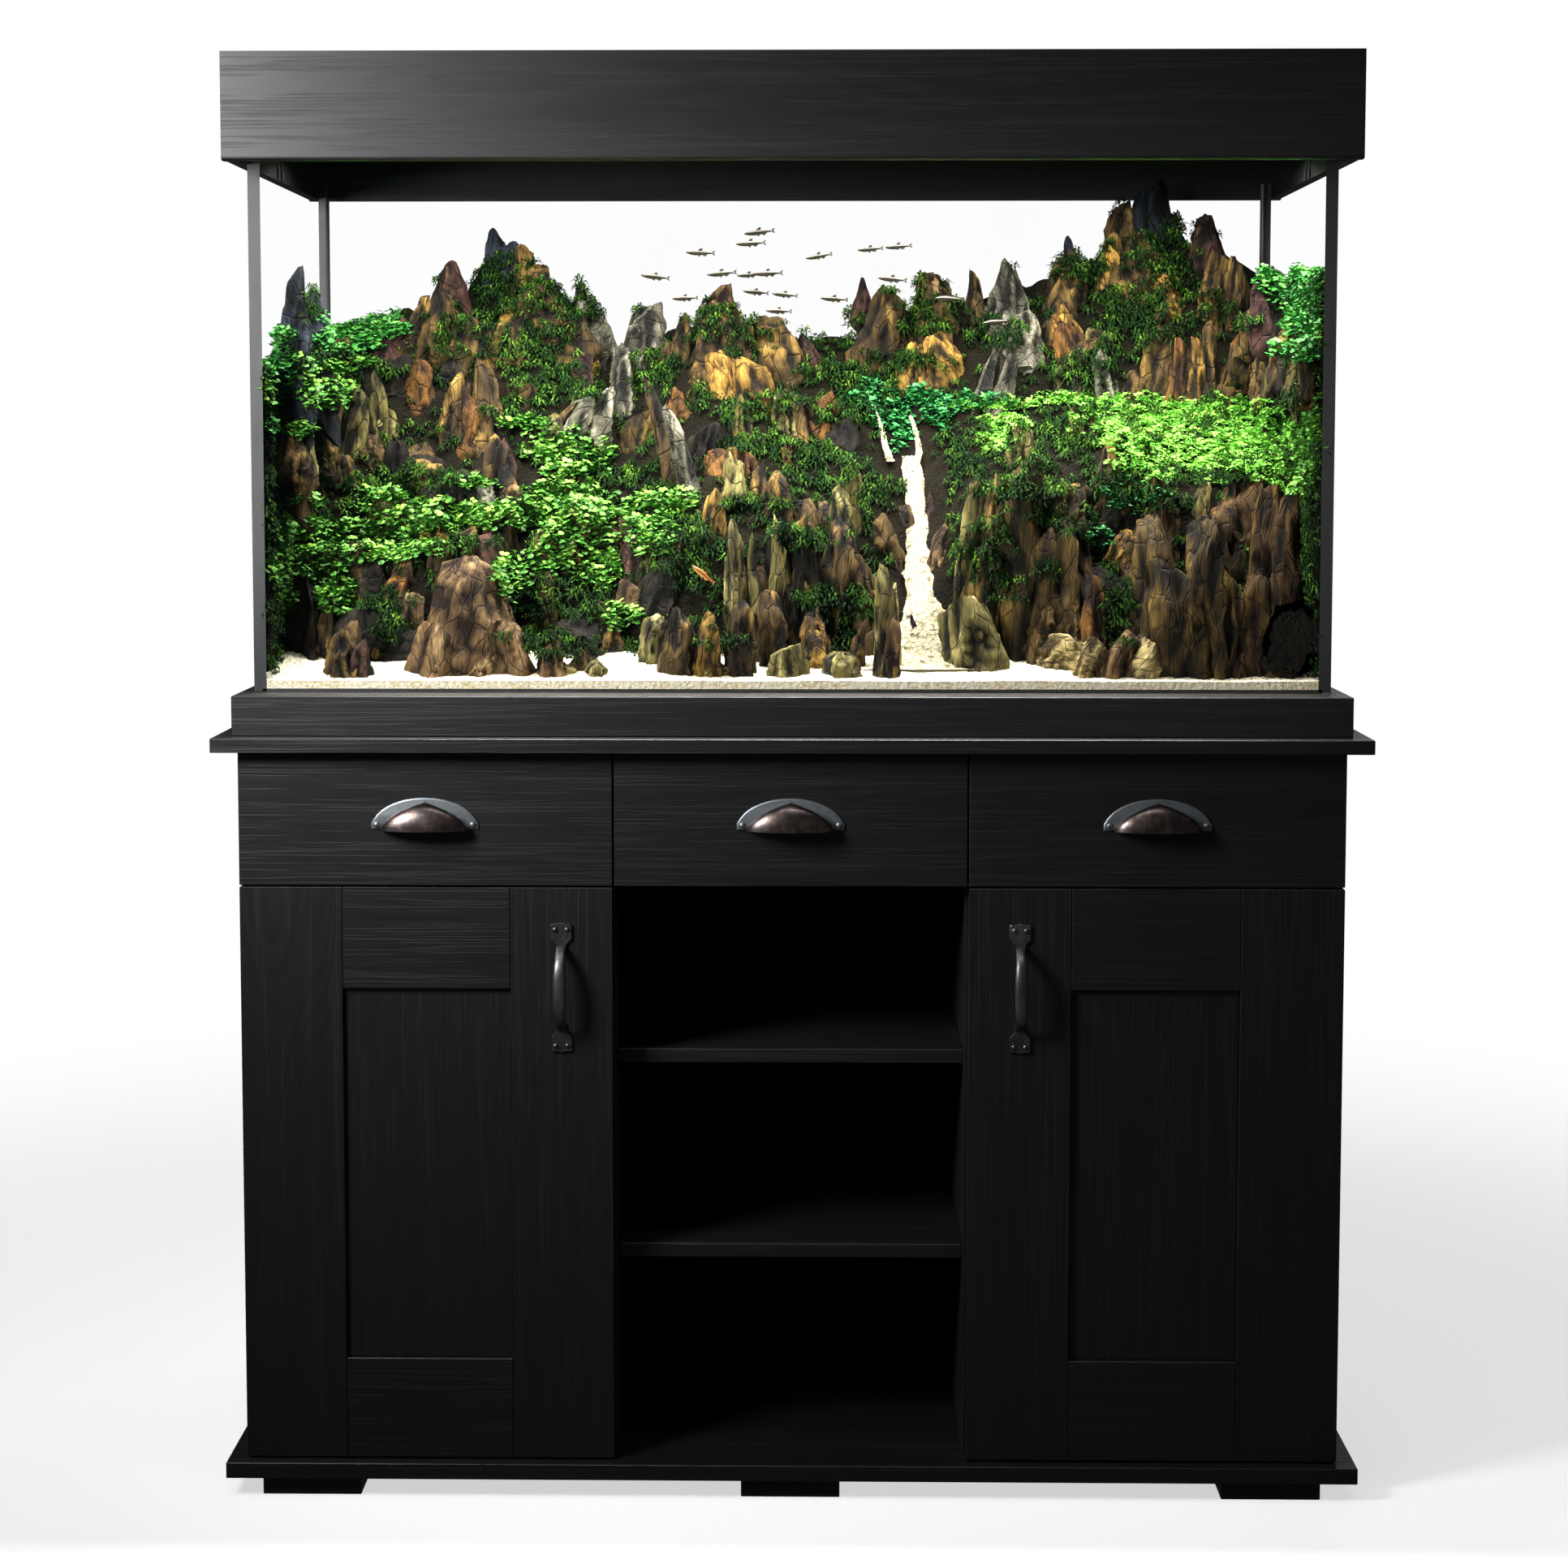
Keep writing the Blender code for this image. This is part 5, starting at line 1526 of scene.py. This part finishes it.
def fish_finish(name, back, gold, stripe, belly):
    finish, shader, line = new_finish(name, specular_ior_level=0.6)
    own = line.node("Attribute", {"attribute_name": "fish_place"}, out=1)
    along = line.node("SeparateXYZ", {}, {0: own}, 0)
    up = line.node("SeparateXYZ", {}, {0: own}, 1)
    scales = line.speckle(line.spread(), 1300.0, 2.0)
    colour = up.step(0.030, 0.050).mix(gold, back)
    colour = (1.0 - up.step(0.006, 0.018)).mix(colour, stripe)
    colour = (1.0 - up.step(-0.030, -0.012)).mix(colour, belly)
    eye = 1.0 - along.step(-0.6, -0.4)
    feed(
        shader,
        base_color=eye.mix(colour, (0.003, 0.003, 0.003)),
        roughness=0.22 + scales * 0.25,
        metallic=up.step(-0.05, 0.03) * 0.15,
        normal=line.bump(scales, 0.25, 0.0002),
    )
    return finish


shoaling = fish_finish("shoaling_fish", dye(20, 20, 11), dye(54, 46, 18), dye(6, 6, 4), dye(42, 40, 28))
orange = fish_finish("orange_fish", dye(150, 84, 30), dye(190, 124, 50), dye(120, 60, 22), dye(196, 140, 74))
form = bmesh.new()
form.verts.layers.float_vector.new("fish_place")
for fish in SCHOOL:
    add_fish(form, *fish)
new_piece("fish_school", form, [shoaling], "stand", 40)
form = bmesh.new()
form.verts.layers.float_vector.new("fish_place")
add_fish(form, -104, 1038, -186, 34, 38)
new_piece("orange_fish", form, [orange], "stand", 40)

# ---- Hood --------------------------------------------------------------------------------------
# Four foiled boards on edge, joined at the corners, rest over the tank's rim as a loose frame.
# A thin steel bracket on each side board keeps the hood from sliding down.

for seed, name in enumerate(("hood_front", "hood_back", "hood_left", "hood_right")):
    along = "y" if name in ("hood_left", "hood_right") else "x"
    reface(name, black_ash(f"ash_{name}", along, 41.3 + seed * 2.9, 0.55))

BRACKET_Y = (-0.018, 0.006)
BRACKET_WIDTH = 0.009
BRACKET_SHEET = 0.0009
BRACKET_FOOT = 0.0016
BRACKET_HEIGHT = 0.030

specks = ((0.03, 0.03, 0.032), (0.09, 0.09, 0.095), (900.0, 2.0), (0.42, 0.2), (0.3, 0.0002))
bracket_finish = mottled("black_steel", *specks, metallic=0.6)
form = bmesh.new()
for side, sign in (("left", -1), ("right", 1)):
    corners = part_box(f"hood_{side}")
    wall = corners[1 if sign < 0 else 0].x - sign * 0.0001
    foot = corners[0].z + 0.001
    for y in BRACKET_Y:
        profile = [(0.0, 0.0), (BRACKET_FOOT, 0.0), (BRACKET_FOOT, 0.012), (BRACKET_SHEET, 0.0125)]
        profile += [(BRACKET_SHEET, BRACKET_HEIGHT), (0.0, BRACKET_HEIGHT)]
        rings = []
        for end in (y, y + BRACKET_WIDTH):
            rings.append([(wall - sign * out, end, foot + up) for out, up in profile])
        add_skin(form, rings)
new_piece("hood_brackets", form, [bracket_finish], "stand")

# ---- Light bar ---------------------------------------------------------------------------------
# A satin aluminium tray between the hood's side boards, with a milky diffuser let into its
# underside. The lead's gland is on the bar's rear face; the lead itself is left off.

drawn = ((0.50, 0.51, 0.53), (0.74, 0.75, 0.77), (700.0, 3.0), (0.26, 0.16), (0.2, 0.0002))
reface("light_bar", mottled("satin_aluminium", *drawn, stretch=(0.02, 1.0, 1.0), metallic=0.9))

diffuser_finish, diffuser_shader, line = new_finish(
    "milky_diffuser", emission_strength=0.5, specular_ior_level=0.4
)
lenses = line.node("TexVoronoi", {}, {"Vector": line.spread(), "Scale": 60.0})
glow = lenses.step(0.0, 0.5).mix((0.92, 0.95, 0.90), (0.55, 0.60, 0.60))
feed(diffuser_shader, base_color=glow, emission_color=glow, roughness=0.35 + lenses * 0.1)
DIFFUSER_HALF = 0.585
DIFFUSER_INSET, DIFFUSER_WIDTH = 0.012, 0.066
DIFFUSER_CROWN = 0.0016  # how far it bulges below the tray
bar_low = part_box("light_bar")[0]
form = bmesh.new()
outline = []
for step in range(9):
    share = step / 8
    across = bar_low.y + DIFFUSER_INSET + DIFFUSER_WIDTH * share
    outline.append((across, bar_low.z - DIFFUSER_CROWN * math.sin(math.pi * share) ** 0.5 - 0.0002))
outline += [(outline[-1][0], bar_low.z + 0.002), (outline[0][0], bar_low.z + 0.002)]
add_skin(form, [[(x, y, z) for y, z in outline] for x in (-DIFFUSER_HALF, DIFFUSER_HALF)])
new_piece("light_diffuser", form, [diffuser_finish], "stand", smooth=30)

# ---- Lid ---------------------------------------------------------------------------------------
# One foiled board lies flush between the hood's four and lifts on a hinge at the back edge, for
# feeding the fish and cleaning.

reface("hood_lid", black_ash("ash_lid", "x", 57.7, 0.5))

# ---- Drawers -----------------------------------------------------------------------------------
# Each drawer is a foiled front, its grain across, screwed to a plain box of thinner foiled boards
# that runs between two steel runners.

for seed, bay in enumerate(("left", "centre", "right")):
    reface(f"drawer_front_{bay}", black_ash(f"ash_drawer_{bay}", "x", 61.7 + seed * 4.3, 0.75))
    reface(f"drawer_box_{bay}", black_ash(f"ash_box_{bay}", "x", 77.9 + seed * 2.1, 0.2))

# ---- Cup pulls ---------------------------------------------------------------------------------
# Cast cup pulls with an aged bronze plating: a shell bulging out of an arched back plate with a
# rim, held by one domed screw in the lug at each end.

CUP_HALF = 0.060
CUP_LUG = 0.0075
CUP_ARCH = 0.0355
SHELL_HALF = 0.0500
SHELL_HEIGHT = 0.0312
SHELL_DEPTH = 0.0228
LOW_AT_LUG, LOW_AT_SHELL = 0.0001, 0.0015  # height of the plate's lower edge
PLATE = 0.0022
SCREW_HEAD = 0.0033

bronze_finish, bronze_shader, line = new_finish(
    "aged_bronze", metallic=1.0, coat_roughness=0.12, coat_ior=1.5
)
wear = line.speckle(line.spread(), 70.0, 4.0, 0.65)
pits = line.speckle(line.spread(), 520.0, 2.0)
worn = wear.step(0.42, 0.75)
feed(
    bronze_shader,
    base_color=worn.mix((0.13, 0.108, 0.104), (0.36, 0.25, 0.22)),
    roughness=0.24 + pits * 0.12 + wear * 0.08,
    coat_weight=worn * 0.3 + 0.2,
    normal=line.bump(pits + wear, 0.12, 0.0003),
)
haze = ((0.22, 0.245, 0.27), (0.44, 0.48, 0.52), (180.0, 4.0), (0.36, 0.16), (0.18, 0.0003))
plate_finish = mottled("blue_steel_plate", *haze, metallic=0.85)


def cup_shell(form, centre):
    """The bulging shell: a quarter of an egg, open underneath, with a rolled lower lip."""
    rows, columns = 10, 36
    skins = []
    for sheet in (0.0, 0.0016):
        grid = []
        for i in range(rows + 1):
            rise = math.pi / 2 * i / rows
            row = []
            for j in range(columns + 1):
                sweep = math.pi * j / columns
                out = (SHELL_DEPTH - sheet) * math.cos(rise) ** 0.85 * math.sin(sweep) ** 0.8
                flat = math.cos(sweep) * (SHELL_HALF - sheet) * math.cos(rise) ** 0.7
                up = (SHELL_HEIGHT - sheet) * math.sin(rise) * math.sin(sweep) ** 0.35
                across = flat if i < rows else 0.0
                row.append(form.verts.new(centre + Vector((across, -PLATE - out, up))))
            grid.append(row)
        skins.append(grid)
    outer, inner = skins
    for i in range(rows):
        for j in range(columns):
            form.faces.new((outer[i][j], outer[i][j + 1], outer[i + 1][j + 1], outer[i + 1][j]))
            form.faces.new((inner[i][j], inner[i + 1][j], inner[i + 1][j + 1], inner[i][j + 1]))
    for j in range(columns):
        form.faces.new((outer[0][j], inner[0][j], inner[0][j + 1], outer[0][j + 1]))
        form.faces.new((outer[rows][j], outer[rows][j + 1], inner[rows][j + 1], inner[rows][j]))
    for end in (0, columns):
        for i in range(rows):
            face = (outer[i][end], outer[i + 1][end], inner[i + 1][end], inner[i][end])
            form.faces.new(face if end == 0 else face[::-1])


def back_plate(form, centre):
    """The arched plate behind the shell, with a raised rim and a round lug at each end."""
    count = 40
    loops = []
    for inset, out in ((0.0, 0.0), (0.0, 0.0012), (0.0008, 0.0019), (0.0022, 0.0022)):
        top, low = [], []
        for i in range(count + 1):
            across = -1 + 2 * i / count
            x = across * (CUP_HALF - inset)
            arch = CUP_ARCH * math.sqrt(max(0.0, 1 - (x / (CUP_HALF + 0.0007)) ** 2))
            top.append((x, -out, max(arch, CUP_LUG) - inset))
            low.append((x, -out, inset + (LOW_AT_LUG if abs(x) > SHELL_HALF else LOW_AT_SHELL)))
        loops.append([centre + Vector(p) for p in top + low[::-1]])
    add_skin(form, loops)


def dome_screw(form, place, radius, outward=Vector((0, -1, 0))):
    """A domed screw head with a cross slot pressed in its middle."""
    turned = outward.to_track_quat("Z", "Y").to_matrix()
    rings = []
    for share, height in ((1.0, 0.0), (1.0, 0.25), (0.86, 0.5), (0.62, 0.68), (0.34, 0.76), (0.2, 0.5)):
        ring = []
        for step in range(16):
            swing = 2 * math.pi * step / 16
            reach = radius * share * (0.62 if share == 0.34 and step % 4 else 1.0)
            around = Vector((math.cos(swing) * reach, math.sin(swing) * reach, height * radius))
            ring.append(place + turned @ around)
        rings.append(ring)
    add_skin(form, rings)


for bay in ("left", "centre", "right"):
    cup_low, cup_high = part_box(f"cup_pull_{bay}")
    foot = Vector(((cup_low.x + cup_high.x) / 2, cup_high.y, cup_low.z))
    shell, plate = bmesh.new(), bmesh.new()
    cup_shell(shell, foot)
    bmesh.ops.remove_doubles(shell, verts=shell.verts, dist=0.00002)
    back_plate(plate, foot)
    for sign in (-1, 1):
        lug = foot + Vector((sign * (CUP_HALF - 0.0062), -PLATE, 0.0055))
        dome_screw(plate, lug, SCREW_HEAD)
    body = f"drawer_{bay}"
    cup = new_piece(f"cup_{bay}", shell, [bronze_finish], body, 50)
    plate = new_piece(f"cup_plate_{bay}", plate, [plate_finish], body, 35)
    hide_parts(f"cup_pull_{bay}")

# ---- Doors -------------------------------------------------------------------------------------
# Framed doors: two full-height stiles, two rails between them and a recessed panel. The grain
# runs up the stiles and the panel and across the rails.

for side, start in (("left", 83.3), ("right", 97.1)):
    for seed, part in enumerate(("hinge_stile", "lock_stile", "panel")):
        board = f"door_{side}_{part}"
        reface(board, black_ash(f"ash_{board}", "z", start + seed * 3.3, 0.85))
    for seed, part in enumerate(("top_rail", "bottom_rail")):
        board = f"door_{side}_{part}"
        reface(board, black_ash(f"ash_{board}", "x", start + 11 + seed * 2.7, 0.6))

# ---- Door handles ------------------------------------------------------------------------------
# Cast iron bow handles with a dark pewter plating: two end plates, each drawn in to a neck and
# held by two domed screws, and a faceted grip bowed out between them.

# Share of the half length, width, back, front (mm)
GRIP_SECTIONS = (
    (-0.64, 9.4, 0.5, 6.5),
    (-0.62, 9.6, 2.0, 10.0),
    (-0.59, 9.2, 6.5, 14.5),
    (-0.54, 9.6, 11.0, 19.0),
    (-0.48, 10.2, 15.0, 23.0),
    (-0.42, 11.0, 18.0, 26.2),
    (-0.34, 12.0, 20.2, 28.8),
    (-0.24, 12.8, 21.5, 30.2),
    (-0.12, 13.3, 22.0, 30.9),
    (0.0, 13.4, 22.0, 31.0),
)
END_PLATE = (  # across and up from the neck's root (mm), one half
    (0.0, 40.2),
    (4.6, 40.2),
    (4.9, 44.5),
    (5.6, 49.0),
    (8.6, 52.5),
    (12.0, 55.6),
    (12.0, 71.2),
    (10.4, 72.6),
    (6.5, 72.2),
    (2.2, 73.4),
    (0.0, 74.0),
)
PLATE_SCREWS = (6.6, 66.0)

pewter_finish, pewter_shader, line = new_finish("dark_pewter", metallic=1.0)
cast = line.speckle(line.spread(), 240.0, 4.0, 0.6)
rubbed = line.speckle(line.spread(scale=(1.0, 1.0, 0.4)), 55.0, 3.0)
feed(
    pewter_shader,
    base_color=rubbed.step(0.35, 0.75).mix((0.15, 0.15, 0.155), (0.34, 0.33, 0.33)),
    roughness=0.32 + cast * 0.2,
    normal=line.bump(cast, 0.35, 0.0004),
)
for side in ("left", "right"):
    grip_low, grip_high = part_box(f"handle_{side}")
    seat = Vector(((grip_low.x + grip_high.x) / 2, grip_high.y, (grip_low.z + grip_high.z) / 2))
    half = (grip_high.z - grip_low.z) / 2
    form = bmesh.new()
    sections = [*GRIP_SECTIONS, *((-s[0], *s[1:]) for s in GRIP_SECTIONS[-2::-1])]
    rings = []
    for share, width, rear, fore in sections:
        depth, mid = (fore - rear) / 2, (fore + rear) / 2
        ring = []
        for step in range(12):
            swing = 2 * math.pi * (step + 0.5) / 12
            across = math.copysign(abs(math.cos(swing)) ** 0.75, math.cos(swing)) * width * 0.56
            out = math.copysign(abs(math.sin(swing)) ** 0.75, math.sin(swing)) * depth + mid
            ring.append(seat + Vector((across / 1000, -out / 1000, share * half)))
        rings.append(ring)
    add_skin(form, rings)
    for up in (-1, 1):
        outline = [(x, z) for x, z in END_PLATE] + [(-x, z) for x, z in END_PLATE[-2:0:-1]]
        rings = []
        for inset, out in ((0.0, 0.0), (0.0, 2.0), (0.7, 2.9)):
            ring = []
            for x, z in outline:
                closer = Vector((x * (1 - inset / 12), -out, up * (57 + (z - 57) * (1 - inset / 17))))
                ring.append(seat + closer / 1000)
            rings.append(ring)
        add_skin(form, rings)
        for sign in (-1, 1):
            spot = Vector((sign * PLATE_SCREWS[0], -2.7, up * PLATE_SCREWS[1])) / 1000
            dome_screw(form, seat + spot, 0.0030)
    handle = new_piece(f"bow_handle_{side}", form, [pewter_finish], f"door_{side}", 38)
    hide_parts(f"handle_{side}")

# ---- Close -------------------------------------------------------------------------------------
# The box of the frame and the box of what was made are gathered in sizes.

sizes = {
    "frame": [list(corner) for corner in frame_bounds],
    "visual": [list(corner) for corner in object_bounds()],
}
